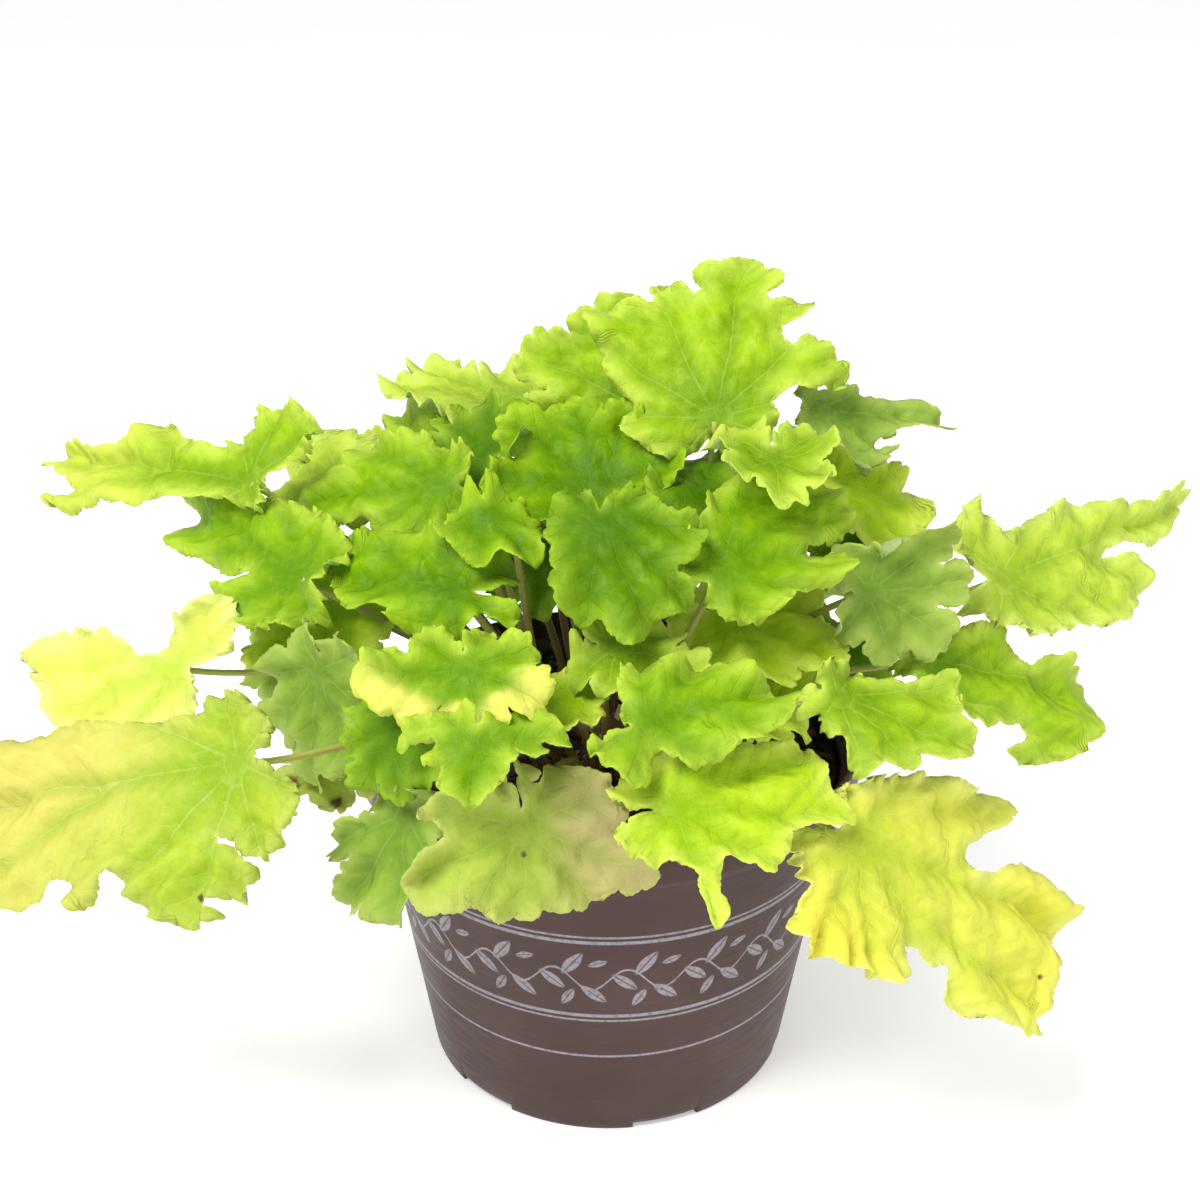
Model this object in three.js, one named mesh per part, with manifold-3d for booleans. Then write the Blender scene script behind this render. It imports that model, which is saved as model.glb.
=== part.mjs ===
// A lime-leaved heuchera in a round nursery pot: pot, bark mix, woody crown and one node for each leaf.
// Millimetres, +Z up. The origin is the middle of the pot's flat base.

import * as THREE from 'three';
import { mergeVertices } from 'three/addons/utils/BufferGeometryUtils.js';
import Module from 'manifold-3d';

const wasm = await Module();
wasm.setup();

const DEG = Math.PI / 180;

// ---------------------------------------------------------------- driving dimensions

// Pot: a tapered shell with a stiff band round its mouth and six drain slots at its foot.
const POT_HEIGHT = 138;
const POT_FOOT_RADIUS = 71;
const POT_WALL_TOP_RADIUS = 92.5;
const POT_BAND_RADIUS = 97;
const POT_BAND_HEIGHT = 13;
const POT_BAND_LEDGE = 1.2;
const POT_WALL = 1.8;
const POT_FLOOR = 2.4;
const POT_SIDES = 36;
const DRAIN_SLOTS = 6;
const DRAIN_HEIGHT = 3.2;
const DRAIN_WIDTH = 26;
const DRAIN_DEPTH = 9;
const DRAIN_FIRST_ANGLE = -72;

// Bark mix: fills the pot to just under the band and rises to the crown.
const SOIL_GAP = 0.3;
const SOIL_EDGE_HEIGHT = 121;
const SOIL_MIDDLE_HEIGHT = 130;
const SOIL_SIDES = 24;
const HOLE_CLEARANCE = 0.35;
const HOLE_DEPTH = 8;
const HOLE_ABOVE = 5;

// Woody crown at the middle, with the youngest leaf still folded on it.
const CROWN_RADIUS = 7;
const CROWN_RISE = 9;
const CROWN_SUNK = 12;
const CROWN_SIDES = 10;

// Petioles: slim four-sided stalks that leave the crown in a ring, the steepest nearest the middle.
const PETIOLE_SIDES = 4;
const PETIOLE_STEPS = 5;
const PETIOLE_FOOT_RADIUS = 1.7;
const PETIOLE_NECK_RADIUS = 1.15;
const PETIOLE_SUNK = 7;
const RING_INNER = 11;
const RING_OUTER = 40;

// Blades.
const BLADE_THICKNESS = 0.8;
const NOTCH_SHARE = 0.78;
const NOTCH_LIMIT = 0.9;
const BASE_NOTCH = 5;
const SUBLOBE_SHARE = 0.06;
const SUBLOBE_PITCH = 0.82;
const VEIN_DEPTH = 1.1;
const VEIN_HALF_WIDTH = 0.3;
// Margin points per lobe, as side shares from its first notch (-1) over its vein (0) to its last (1).
const PLAIN_SHARES = [-1, -0.72, 0, 0.72];
const TOOTHED_SHARES = [-1, -0.82, -0.41, 0, 0.41, 0.82];
const WIDE_LOBE = 50;
// The inner ring of each blade, as shares of the margin radius at a notch and on a vein.
const RING_AT_NOTCH = 0.55;
const RING_ON_VEIN = 0.5;

// ---------------------------------------------------------------- leaves
// at: where the stalk meets the blade. aim: heading of the midrib in plan, from +X towards +Y.
// rise: slope of the midrib. roll: turn about the midrib, positive lifts the left half.
// lobes: [angle from the midrib, length]. cup: degrees the margin turns up (or, if negative, down).
// arch: degrees the midrib bends down. wave: height of the ruffle at the margin. tone: see TONES.
// lean: degrees the stalk's foot is turned round the crown from the blade's own bearing. ring: the foot's
// distance from the crown's axis, where it isn't the usual one.

const LEAVES = [
  { name: 'leaf_crest', tone: 'lime', at: [38, 7, 257], aim: 71, rise: 57, roll: 9,
    cup: -8, arch: 0, wave: 3,
    lobes: [[-140, 19], [-98, 36], [-66, 49], [-35, 51], [0, 62], [36, 51], [66, 47], [96, 42],
      [145, 24]] },
  { name: 'leaf_crest_left', tone: 'lime', at: [14, 32, 251], aim: 146, rise: 14, roll: -47,
    cup: 16, arch: 8, wave: 3,
    lobes: [[-130, 26], [-82, 36], [-35, 46], [4, 53], [32, 46], [75, 32], [130, 24]] },
  { name: 'leaf_crest_right', tone: 'green', at: [76, 25, 254], aim: 10, rise: -15, roll: 44,
    cup: -10, arch: 8, wave: 3,
    lobes: [[-125, 20], [-50, 29], [4, 52], [34, 30], [80, 26], [130, 20]] },
  { name: 'leaf_left_arm', tone: 'green', at: [-38, 66, 244], aim: -177, rise: 0, roll: -8,
    cup: 10, arch: 10, wave: 4,
    lobes: [[-128, 24], [-78, 26], [-32, 44], [0, 49], [32, 40], [76, 30], [125, 22]] },
  { name: 'leaf_back_bowl', tone: 'green', at: [-3, 2, 234], aim: 148, rise: 18, roll: -33,
    cup: 34, arch: 0, wave: 3,
    lobes: [[-125, 26], [-75, 32], [-35, 33], [0, 42], [38, 42], [78, 38], [125, 26]] },
  { name: 'leaf_frill_cup', tone: 'lime', at: [57, -16, 251], aim: -88, rise: -14, roll: -4,
    cup: 24, arch: 0, wave: 3, lean: 40,
    lobes: [[-130, 20], [-90, 23], [-46, 24], [0, 22], [46, 24], [88, 23], [130, 20]] },
  { name: 'leaf_centre', tone: 'green', at: [-2, -42, 238], aim: -80, rise: -40, roll: 3,
    cup: -12, arch: 8, wave: 3,
    lobes: [[-145, 24], [-98, 28], [-52, 33], [-18, 46], [12, 46], [42, 40], [84, 34], [128, 30]] },
  { name: 'leaf_centre_right', tone: 'lime', at: [38, -45, 220], aim: 30, rise: 13, roll: 39,
    cup: -10, arch: 6, wave: 3, lean: -8,
    lobes: [[-142, 20], [-88, 26], [-44, 44], [-12, 46], [14, 62], [44, 41], [78, 26], [130, 16]] },
  { name: 'leaf_shade_right', tone: 'shade', at: [99, 25, 201], aim: -71, rise: -48, roll: -11,
    cup: -10, arch: 0, wave: 3,
    lobes: [[-130, 20], [-80, 26], [-38, 28], [0, 26], [40, 28], [85, 30], [130, 28]] },
  { name: 'leaf_right_back', tone: 'sage', at: [92, -25, 204], aim: 17, rise: -4, roll: 70,
    cup: 10, arch: 0, wave: 2.5, lean: 10,
    lobes: [[-125, 20], [-75, 26], [-30, 34], [0, 36], [32, 38], [75, 26], [125, 20]] },
  { name: 'leaf_right', tone: 'lime', at: [144, 2, 196], aim: 20, rise: -11, roll: 50,
    cup: -4, arch: 4, wave: 2.5,
    lobes: [[-143, 24], [-100, 28], [-60, 32], [-22, 46], [0, 72], [19, 106], [52, 35], [95, 34],
      [130, 28]] },
  { name: 'leaf_right_low', tone: 'green', at: [113, -20, 175], aim: 4, rise: -21, roll: 44,
    cup: -6, arch: 8, wave: 3,
    lobes: [[-150, 18], [-80, 26], [-52, 40], [-30, 58], [-13, 72], [4, 77], [25, 54], [55, 22],
      [120, 14]] },
  { name: 'leaf_folded_right', tone: 'lime', at: [76, -74, 189], aim: -1, rise: -23, roll: 31,
    cup: 12, arch: 6, wave: 3, lean: -26, ring: 24,
    lobes: [[-125, 22], [-66, 28], [-28, 38], [0, 49], [28, 38], [70, 26], [125, 20]] },
  { name: 'leaf_shadow_right', tone: 'shade', at: [77, 8, 160], aim: -12, rise: -21, roll: 20,
    cup: -10, arch: 8, wave: 3,
    lobes: [[-130, 20], [-75, 24], [-36, 30], [0, 36], [40, 30], [80, 24], [130, 20]] },
  { name: 'leaf_under_right', tone: 'shade', at: [42, -23, 193], aim: -19, rise: -13, roll: 21,
    cup: -10, arch: 8, wave: 2.5,
    lobes: [[-130, 20], [-80, 24], [-38, 28], [0, 32], [40, 26], [80, 22], [130, 18]] },
  { name: 'leaf_under_centre', tone: 'green', at: [2, -58, 198], aim: -11, rise: -12, roll: 20,
    cup: -10, arch: 8, wave: 2.5, lean: -12,
    lobes: [[-130, 18], [-85, 20], [-42, 26], [0, 32], [42, 24], [85, 18], [130, 16]] },
  { name: 'leaf_front_centre', tone: 'bright', at: [12, -100, 193], aim: 15, rise: 4, roll: 30,
    cup: -8, arch: 8, wave: 3,
    lobes: [[-170, 28], [-125, 26], [-84, 22], [-48, 28], [-20, 38], [4, 52], [38, 34], [80, 24],
      [130, 20]] },
  { name: 'leaf_behind_front', tone: 'lime', at: [48, -40, 169], aim: 20, rise: -4, roll: 20,
    cup: -8, arch: 8, wave: 3, lean: 16,
    lobes: [[-125, 20], [-75, 22], [-35, 26], [0, 32], [36, 30], [78, 22], [125, 20]] },
  { name: 'leaf_front_bright', tone: 'bright', at: [20, -112, 169], aim: -1, rise: -4, roll: 33,
    cup: -8, arch: 10, wave: 3,
    lobes: [[-165, 26], [-122, 30], [-93, 32], [-72, 46], [-52, 34], [-30, 44], [0, 60], [30, 48],
      [75, 28], [128, 22]] },
  { name: 'leaf_front_tan', tone: 'tan', at: [-27, -109, 160], aim: -49, rise: -64, roll: 14,
    cup: -6, arch: 0, wave: 3,
    lobes: [[-120, 30], [-84, 43], [-46, 40], [-12, 36], [24, 40], [56, 45], [92, 30], [130, 22]] },
  { name: 'leaf_front_left', tone: 'lime', at: [-42, -111, 192], aim: -97, rise: -41, roll: -6,
    cup: -10, arch: 0, wave: 2.5,
    lobes: [[-128, 20], [-88, 25], [-44, 22], [0, 24], [44, 22], [88, 26], [132, 20]] },
  { name: 'leaf_gold_cup', tone: 'gold', at: [-46, -84, 204], aim: -72, rise: -34, roll: 9,
    cup: 26, arch: 0, wave: 3,
    lobes: [[-138, 26], [-96, 36], [-46, 22], [0, 18], [50, 26], [98, 24], [150, 20]] },
  { name: 'leaf_left_centre', tone: 'green', at: [-52, -48, 215], aim: 177, rise: -10, roll: -30,
    cup: -10, arch: 8, wave: 3,
    lobes: [[-130, 18], [-85, 22], [-42, 34], [-8, 46], [28, 36], [62, 26], [103, 24], [145, 22]] },
  { name: 'leaf_left_upper', tone: 'green', at: [-59, -2, 235], aim: 171, rise: -15, roll: -42,
    cup: -10, arch: 8, wave: 3,
    lobes: [[-130, 22], [-82, 24], [-38, 34], [-8, 52], [20, 44], [56, 30], [100, 22], [145, 18]] },
  { name: 'leaf_left_frill', tone: 'lime', at: [-42, -30, 236], aim: -76, rise: -24, roll: 10,
    cup: -14, arch: 0, wave: 3.5,
    lobes: [[-126, 16], [-76, 18], [-34, 22], [0, 22], [34, 28], [80, 22], [130, 16]] },
  { name: 'leaf_back_left', tone: 'green', at: [-66, 46, 222], aim: 149, rise: 8, roll: -44,
    cup: -10, arch: 6, wave: 3,
    lobes: [[-130, 22], [-75, 26], [-32, 34], [0, 46], [34, 40], [78, 28], [128, 22]] },
  { name: 'leaf_far_left', tone: 'green', at: [-132, 14, 230], aim: 152, rise: -14, roll: -49,
    cup: -4, arch: 4, wave: 2.5,
    lobes: [[-140, 34], [-104, 32], [-62, 31], [-24, 56], [-9, 113], [3, 92], [42, 36], [110, 20]] },
  { name: 'leaf_left_big', tone: 'green', at: [-110, -20, 207], aim: 146, rise: -6, roll: -45,
    cup: -10, arch: 8, wave: 3,
    lobes: [[-135, 26], [-88, 24], [-48, 34], [-16, 84], [8, 60], [34, 38], [72, 29], [130, 24]] },
  { name: 'leaf_yellow', tone: 'gold', at: [-155, -30, 176], aim: 166, rise: -8, roll: -55,
    cup: -4, arch: 4, wave: 2,
    lobes: [[-150, 24], [-122, 32], [-68, 12], [-16, 40], [2, 59], [20, 62], [38, 52], [62, 26],
      [120, 16]] },
  { name: 'leaf_left_low', tone: 'gold', at: [-121, -94, 175], aim: -180, rise: -22, roll: -43,
    cup: -4, arch: 6, wave: 3, lean: 6,
    lobes: [[-135, 24], [-84, 30], [-38, 56], [-9, 108], [7, 106], [32, 64], [62, 53], [90, 41],
      [140, 32]] },
  { name: 'leaf_left_under', tone: 'sage', at: [-120, 2, 168], aim: -151, rise: -56, roll: -15,
    cup: -10, arch: 0, wave: 2.5,
    lobes: [[-125, 16], [-70, 20], [-30, 24], [0, 28], [34, 26], [75, 22], [125, 18]] },
  { name: 'leaf_left_hang', tone: 'sage', at: [-100, -50, 186], aim: -133, rise: -74, roll: -6,
    cup: -10, arch: 0, wave: 2.5,
    lobes: [[-125, 18], [-70, 26], [-30, 36], [0, 42], [30, 36], [70, 26], [125, 18]] },
  { name: 'leaf_brown_edge', tone: 'tan', at: [-93, -38, 152], aim: -154, rise: -35, roll: -17,
    cup: -10, arch: 0, wave: 3,
    lobes: [[-125, 14], [-70, 18], [-30, 24], [0, 28], [34, 26], [75, 22], [125, 16]] },
  { name: 'leaf_low_left', tone: 'sage', at: [-68, -90, 188], aim: -156, rise: -50, roll: -27,
    cup: -10, arch: 0, wave: 2.5, lean: 4,
    lobes: [[-125, 14], [-70, 18], [-34, 22], [0, 26], [34, 26], [75, 24], [125, 16]] },
  { name: 'leaf_low_hang', tone: 'sage', at: [-67, -98, 158], aim: -173, rise: -60, roll: -40,
    cup: 6, arch: 0, wave: 3,
    lobes: [[-125, 12], [-70, 16], [-32, 32], [0, 41], [34, 35], [72, 25], [125, 18]] },
  { name: 'leaf_corner_gold', tone: 'gold', at: [81, -101, 150], aim: -5, rise: -46, roll: 35,
    cup: -4, arch: 4, wave: 3,
    lobes: [[-150, 30], [-116, 50], [-80, 44], [-52, 46], [-30, 50], [-12, 80], [2, 98], [21, 110],
      [46, 70], [80, 34], [130, 22]] },
  { name: 'leaf_fill_upper', tone: 'sage', at: [-103, 41, 219], aim: 170, rise: -20, roll: -30,
    cup: -10, arch: 8, wave: 2.5,
    lobes: [[-125, 18], [-72, 24], [-34, 28], [0, 30], [34, 28], [72, 24], [125, 18]] },
  { name: 'leaf_fill_left', tone: 'shade', at: [-97, -2, 188], aim: -160, rise: -25, roll: -20,
    cup: -10, arch: 8, wave: 2.5,
    lobes: [[-125, 20], [-72, 26], [-34, 30], [0, 34], [34, 30], [72, 26], [125, 20]] },
  { name: 'leaf_fill_inner', tone: 'shade', at: [-19, 34, 194], aim: -105, rise: -22, roll: 6,
    cup: -10, arch: 8, wave: 2.5, lean: -25,
    lobes: [[-125, 18], [-72, 22], [-34, 26], [0, 28], [34, 26], [72, 22], [125, 18]] },
  { name: 'leaf_fill_cap', tone: 'shade', at: [30, -10, 236], aim: -60, rise: -20, roll: 0,
    cup: -8, arch: 6, wave: 2.5,
    lobes: [[-125, 14], [-72, 18], [-34, 20], [0, 22], [34, 20], [72, 18], [125, 14]] },
  { name: 'leaf_fill_right', tone: 'green', at: [92, 24, 222], aim: 10, rise: -16, roll: 30,
    cup: -8, arch: 6, wave: 2.5, lean: 8,
    lobes: [[-125, 20], [-72, 24], [-34, 28], [0, 26], [34, 22], [72, 18], [125, 18]] },
  { name: 'leaf_young', tone: 'bright', at: [-16, -62, 182], aim: -130, rise: 20, roll: -20,
    cup: 40, arch: 0, wave: 2,
    lobes: [[-120, 10], [-72, 14], [-34, 16], [0, 18], [34, 16], [72, 14], [120, 10]] },
  { name: 'leaf_fill_back', tone: 'shade', at: [-44, 18, 240], aim: 120, rise: 4, roll: -36,
    cup: 10, arch: 6, wave: 2.5, lean: 30,
    lobes: [[-125, 16], [-72, 20], [-34, 23], [0, 24], [34, 23], [72, 20], [125, 16]] },
];

// Leaves on the far side of the plant, in three tiers that lean outwards like shingles.
// bearings: where they stand round the crown, in degrees from +X. out and height: of the blade's neck.
const BACK_TIERS = [
  { name: 'leaf_back_low', bearings: [36, 70, 104, 150], out: 118, height: 164, rise: -38, length: 54 },
  { name: 'leaf_back_mid', bearings: [44, 84, 122], out: 88, height: 200, rise: -28, length: 45 },
  { name: 'leaf_back_top', bearings: [84], out: 56, height: 232, rise: -14, length: 40 },
];
const BACK_LOBES = [[-128, 0.5], [-76, 0.72], [-36, 0.9], [0, 1], [36, 0.9], [76, 0.72], [128, 0.5]];

const TONES = {
  lime: 0xb5d935,
  bright: 0xcdee3c,
  green: 0x86b81e,
  shade: 0x4e8a0f,
  gold: 0xe3ea4e,
  sage: 0xa9c47e,
  tan: 0xc4c274,
};
const CROWN_BROWN = 0x7d6a34;

// ---------------------------------------------------------------- small helpers

/** Repeatable draw between 0 and 1 for the whole number pair (seed, index). */
function draw(seed, index) {
  const spread = Math.sin(seed * 12.9898 + index * 78.233) * 43758.5453;
  return spread - Math.floor(spread);
}

/** Closed solid from triangles over shared vertices. */
function solidFrom(vertices, triangles) {
  const vertProperties = new Float32Array(vertices.flat());
  const triVerts = new Uint32Array(triangles.flat());
  return new wasm.Manifold(new wasm.Mesh({ numProp: 3, vertProperties, triVerts }));
}

/** Solid from a closed three.js geometry. */
function solidFromGeometry(geometry) {
  const bare = geometry.clone();
  bare.deleteAttribute('normal');
  bare.deleteAttribute('uv');
  const merged = mergeVertices(bare, 1e-4);
  const vertProperties = new Float32Array(merged.attributes.position.array);
  const triVerts = new Uint32Array(merged.index.array);
  return new wasm.Manifold(new wasm.Mesh({ numProp: 3, vertProperties, triVerts }));
}

/** three.js geometry from a solid. */
function geometryFromSolid(solid) {
  const mesh = solid.getMesh();
  const geometry = new THREE.BufferGeometry();
  geometry.setAttribute('position', new THREE.BufferAttribute(new Float32Array(mesh.vertProperties), 3));
  geometry.setIndex(new THREE.BufferAttribute(new Uint32Array(mesh.triVerts), 1));
  geometry.computeVertexNormals();
  return geometry;
}

/** Lathe about +Z from [radius, height] pairs that start and end on the axis or close on themselves. */
function turned(profile, sides) {
  const geometry = new THREE.LatheGeometry(profile.map(([r, z]) => new THREE.Vector2(r, z)), sides);
  geometry.rotateX(Math.PI / 2);
  return geometry;
}

/** One leaf of a far-side tier, with a little seeded play in its size and pose. */
function backLeaf(tier, bearing, index) {
  const play = (k) => 2 * draw(bearing, k) - 1;
  const length = tier.length * (1 + 0.08 * play(1));
  return {
    name: `${tier.name}_${index + 1}`,
    tone: 'green',
    at: [tier.out * Math.cos(bearing * DEG), tier.out * Math.sin(bearing * DEG), tier.height + 4 * play(2)],
    aim: bearing + 12 * play(3),
    rise: tier.rise + 5 * play(4),
    roll: 8 * play(5),
    cup: -12,
    arch: 10,
    wave: 2.5,
    lobes: BACK_LOBES.map(([angle, share], k) => [angle, length * share * (1 + 0.06 * play(6 + k))]),
  };
}

// ---------------------------------------------------------------- leaf blade

/** Depth of the notch between two lobes: beside a much longer lobe the shorter one is only a shoulder. */
function notchRadius(one, other) {
  return Math.min(NOTCH_SHARE * Math.sqrt(one * other), NOTCH_LIMIT * Math.min(one, other));
}

/** Lobes with the notches that part them, each halfway between its two veins. */
function lobeSectors(leaf) {
  const lobes = leaf.lobes;
  return lobes.map(([angle, length], i) => {
    const before = i > 0 ? lobes[i - 1] : null;
    const after = i < lobes.length - 1 ? lobes[i + 1] : null;
    const start = before ? (angle + before[0]) / 2 : -180;
    const end = after ? (angle + after[0]) / 2 : 180;
    const startRadius = before ? notchRadius(length, before[1]) : BASE_NOTCH;
    const endRadius = after ? notchRadius(length, after[1]) : BASE_NOTCH;
    return { angle, length, start, end, startRadius, endRadius };
  });
}

/** Margin radius in a sector at side share t: -1 at its first notch, 0 on the vein, 1 at its last. */
function marginRadius(sector, t) {
  const notch = t < 0 ? sector.startRadius : sector.endRadius;
  const side = Math.abs(t);
  const fill = Math.pow(1 - Math.pow(side, 4), 0.6);
  const scallop = Math.cos(2 * Math.PI * side / SUBLOBE_PITCH) * (1 - side);
  const rounded = notch + (sector.length - notch) * fill + SUBLOBE_SHARE * sector.length * scallop;
  // A lobe much longer than its notches is a finger of even width.
  return Math.min(rounded, 1.25 * notch / Math.max(side, 0.01));
}

/** Height of the flat blade's relief at a polar place, before it bends. */
function relief(leaf, sector, t, angle, radius) {
  const share = Math.min(radius / marginRadius(sector, t), 1);
  const vein = VEIN_DEPTH * share * (1 - 2 * Math.exp(-Math.pow(t / VEIN_HALF_WIDTH, 2)));
  const lobeWave = -Math.cos(Math.PI * t) * 0.35;
  const seed = leaf.seed;
  const slow = Math.sin(2 * angle * DEG + 6.28 * draw(seed, 1)) * 0.3
    + Math.sin(3 * angle * DEG + 6.28 * draw(seed, 2)) * 0.3
    + Math.sin(7 * angle * DEG + 6.28 * draw(seed, 3)) * 0.3;
  return vein + leaf.wave * share * share * (lobeWave + slow);
}

/** Place of a blade point in the leaf's own frame: u along the midrib, v to its left, w up. */
function bladePoint(leaf, angle, radius, height) {
  // Cup: each ray from the stalk bends as a circle that has turned by `cup` at the blade's reach.
  const bend = leaf.cup * DEG / leaf.reach;
  const turn = bend * radius;
  const out = Math.abs(bend) < 1e-6 ? radius : Math.sin(turn) / bend - height * Math.sin(turn);
  const up = Math.abs(bend) < 1e-6 ? height : (1 - Math.cos(turn)) / bend + height * Math.cos(turn);
  const v = out * Math.sin(angle * DEG);
  const along = out * Math.cos(angle * DEG);
  // Arch: the midrib bends down over its length.
  const archBend = leaf.arch * DEG / leaf.reach;
  const archTurn = archBend * along;
  const straight = Math.abs(archBend) < 1e-6;
  const u = straight ? along : Math.sin(archTurn) / archBend + up * Math.sin(archTurn);
  const w = straight ? up : (Math.cos(archTurn) - 1) / archBend + up * Math.cos(archTurn);
  return new THREE.Vector3(u, v, w);
}

/** Turn and shift from the leaf's own frame to the pot's. */
function leafFrame(leaf) {
  const turn = new THREE.Matrix4().makeRotationZ(leaf.aim * DEG);
  turn.multiply(new THREE.Matrix4().makeRotationY(-(leaf.rise + leaf.arch / 2) * DEG));
  turn.multiply(new THREE.Matrix4().makeRotationX(leaf.roll * DEG));
  return turn.setPosition(...leaf.at);
}

/** Blade as a thin solid: a fan to an inner ring, then a ring out to the lobed margin. */
function bladeSolid(leaf) {
  const frame = leafFrame(leaf);
  const middle = [bladePoint(leaf, 0, 0, 0)];
  const triangles = [];
  const rim = [];
  const inner = [];
  for (const sector of lobeSectors(leaf)) {
    const width = sector.end - sector.start;
    const shares = width > WIDE_LOBE && !leaf.plain ? TOOTHED_SHARES : PLAIN_SHARES;
    for (const t of shares) {
      const half = t < 0 ? sector.angle - sector.start : sector.end - sector.angle;
      const angle = sector.angle + t * half;
      const radius = marginRadius(sector, t);
      rim.push(middle.length);
      middle.push(bladePoint(leaf, angle, radius, relief(leaf, sector, t, angle, radius)));
      if (t === -1 || t === 0) {
        const depth = radius * (t === 0 ? RING_ON_VEIN : RING_AT_NOTCH);
        inner.push({ at: middle.length, rim: rim.length - 1 });
        middle.push(bladePoint(leaf, angle, depth, relief(leaf, sector, t, angle, depth)));
      }
    }
  }
  inner.forEach((point, i) => {
    const next = inner[(i + 1) % inner.length];
    triangles.push([0, point.at, next.at]);
    const steps = (next.rim - point.rim + rim.length) % rim.length;
    for (let k = 0; k < steps; k += 1) {
      const a = rim[(point.rim + k) % rim.length];
      const b = rim[(point.rim + k + 1) % rim.length];
      triangles.push(k < steps / 2 ? [point.at, a, b] : [next.at, a, b]);
      if (k === Math.floor((steps - 1) / 2)) triangles.push([point.at, b, next.at]);
    }
  });
  return thickened(middle.map((p) => p.applyMatrix4(frame)), triangles, rim);
}

/** Gives a sheet of triangles its thickness along its own normals, and closes it round its rim. */
function thickened(points, triangles, rim) {
  const normals = points.map(() => new THREE.Vector3());
  for (const [a, b, c] of triangles) {
    const side = points[b].clone().sub(points[a]);
    const normal = side.cross(points[c].clone().sub(points[a]));
    for (const k of [a, b, c]) normals[k].add(normal);
  }
  const half = BLADE_THICKNESS / 2;
  const over = points.map((p, i) => p.clone().addScaledVector(normals[i].normalize(), half).toArray());
  const under = points.map((p, i) => p.clone().addScaledVector(normals[i], -half).toArray());
  const count = points.length;
  const faces = [...triangles, ...triangles.map(([a, b, c]) => [a + count, c + count, b + count])];
  rim.forEach((a, i) => {
    const b = rim[(i + 1) % rim.length];
    faces.push([a, a + count, b + count], [a, b + count, b]);
  });
  return solidFrom([...over, ...under], faces);
}

// ---------------------------------------------------------------- petioles

/** Where a leaf's stalk leaves the bark mix: at the leaf's own bearing, steep ones nearer the middle. */
function petioleFoot(leaf) {
  const [x, y, z] = leaf.at;
  const distance = Math.hypot(x, y);
  const climb = Math.atan2(z - SOIL_MIDDLE_HEIGHT, distance) / (90 * DEG);
  const bearing = Math.atan2(y, x) + (leaf.lean ?? 0) * DEG;
  const ring = leaf.ring ?? RING_OUTER - (RING_OUTER - RING_INNER) * climb;
  return new THREE.Vector3(ring * Math.cos(bearing), ring * Math.sin(bearing), soilHeight(ring));
}

/** Centre line of a stalk: up out of the mix, over, and into the blade from below. */
function petioleCurve(leaf) {
  const foot = petioleFoot(leaf);
  const top = new THREE.Vector3(...leaf.at);
  const turn = leafFrame(leaf);
  const forward = new THREE.Vector3().setFromMatrixColumn(turn, 0);
  const face = new THREE.Vector3().setFromMatrixColumn(turn, 2);
  const outward = new THREE.Vector3(foot.x, foot.y, 0).normalize();
  const span = top.distanceTo(foot);
  const rise = outward.clone().multiplyScalar(0.35).add(new THREE.Vector3(0, 0, 1)).normalize();
  const arrive = forward.clone().multiplyScalar(0.35).addScaledVector(face, 0.75);
  arrive.add(top.clone().sub(foot).normalize()).normalize();
  return new THREE.CubicBezierCurve3(
    foot.clone().addScaledVector(rise, 2),
    foot.clone().addScaledVector(rise, span * 0.42),
    top.clone().addScaledVector(arrive, -span * 0.28),
    top,
  );
}

/** Closed square tube through rows of { centre, along, radius }, its corners kept from twisting. */
function tubeSolid(rows) {
  const lead = rows[0].along;
  const across = new THREE.Vector3(-lead.y, lead.x, 0).normalize();
  const vertices = [];
  const faces = [];
  rows.forEach(({ centre, along, radius }, i) => {
    across.addScaledVector(along, -across.dot(along)).normalize();
    const third = along.clone().cross(across);
    for (let k = 0; k < PETIOLE_SIDES; k += 1) {
      const angle = 2 * Math.PI * k / PETIOLE_SIDES;
      const point = centre.clone().addScaledVector(across, radius * Math.cos(angle));
      vertices.push(point.addScaledVector(third, radius * Math.sin(angle)).toArray());
      if (i > 0) {
        const a = (i - 1) * PETIOLE_SIDES + k;
        const b = (i - 1) * PETIOLE_SIDES + (k + 1) % PETIOLE_SIDES;
        faces.push([a, b, b + PETIOLE_SIDES], [a, b + PETIOLE_SIDES, a + PETIOLE_SIDES]);
      }
    }
  });
  const last = (rows.length - 1) * PETIOLE_SIDES;
  for (let k = 1; k < PETIOLE_SIDES - 1; k += 1) {
    faces.push([0, k + 1, k], [last, last + k, last + k + 1]);
  }
  return solidFrom(vertices, faces);
}

/** Stalk: a straight end in the mix, then a curved length that thins from foot to neck. */
function petioleSolid(leaf) {
  const curve = petioleCurve(leaf);
  const lead = curve.getTangent(0);
  const sunk = curve.getPoint(0).addScaledVector(lead, -PETIOLE_SUNK);
  const rows = [{ centre: sunk, along: lead, radius: PETIOLE_FOOT_RADIUS }];
  for (let i = 0; i <= PETIOLE_STEPS; i += 1) {
    const t = i / PETIOLE_STEPS;
    const radius = PETIOLE_FOOT_RADIUS + (PETIOLE_NECK_RADIUS - PETIOLE_FOOT_RADIUS) * t;
    rows.push({ centre: curve.getPoint(t), along: curve.getTangent(t), radius });
  }
  return tubeSolid(rows);
}

/** Plain square hole that a stalk stands in. */
function petioleHole(leaf) {
  const curve = petioleCurve(leaf);
  const lead = curve.getTangent(0);
  const radius = PETIOLE_FOOT_RADIUS + HOLE_CLEARANCE * Math.SQRT2;
  const ends = [-HOLE_DEPTH, HOLE_ABOVE].map((shift) => ({
    centre: curve.getPoint(0).addScaledVector(lead, shift),
    along: lead,
    radius,
  }));
  return tubeSolid(ends);
}

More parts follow.
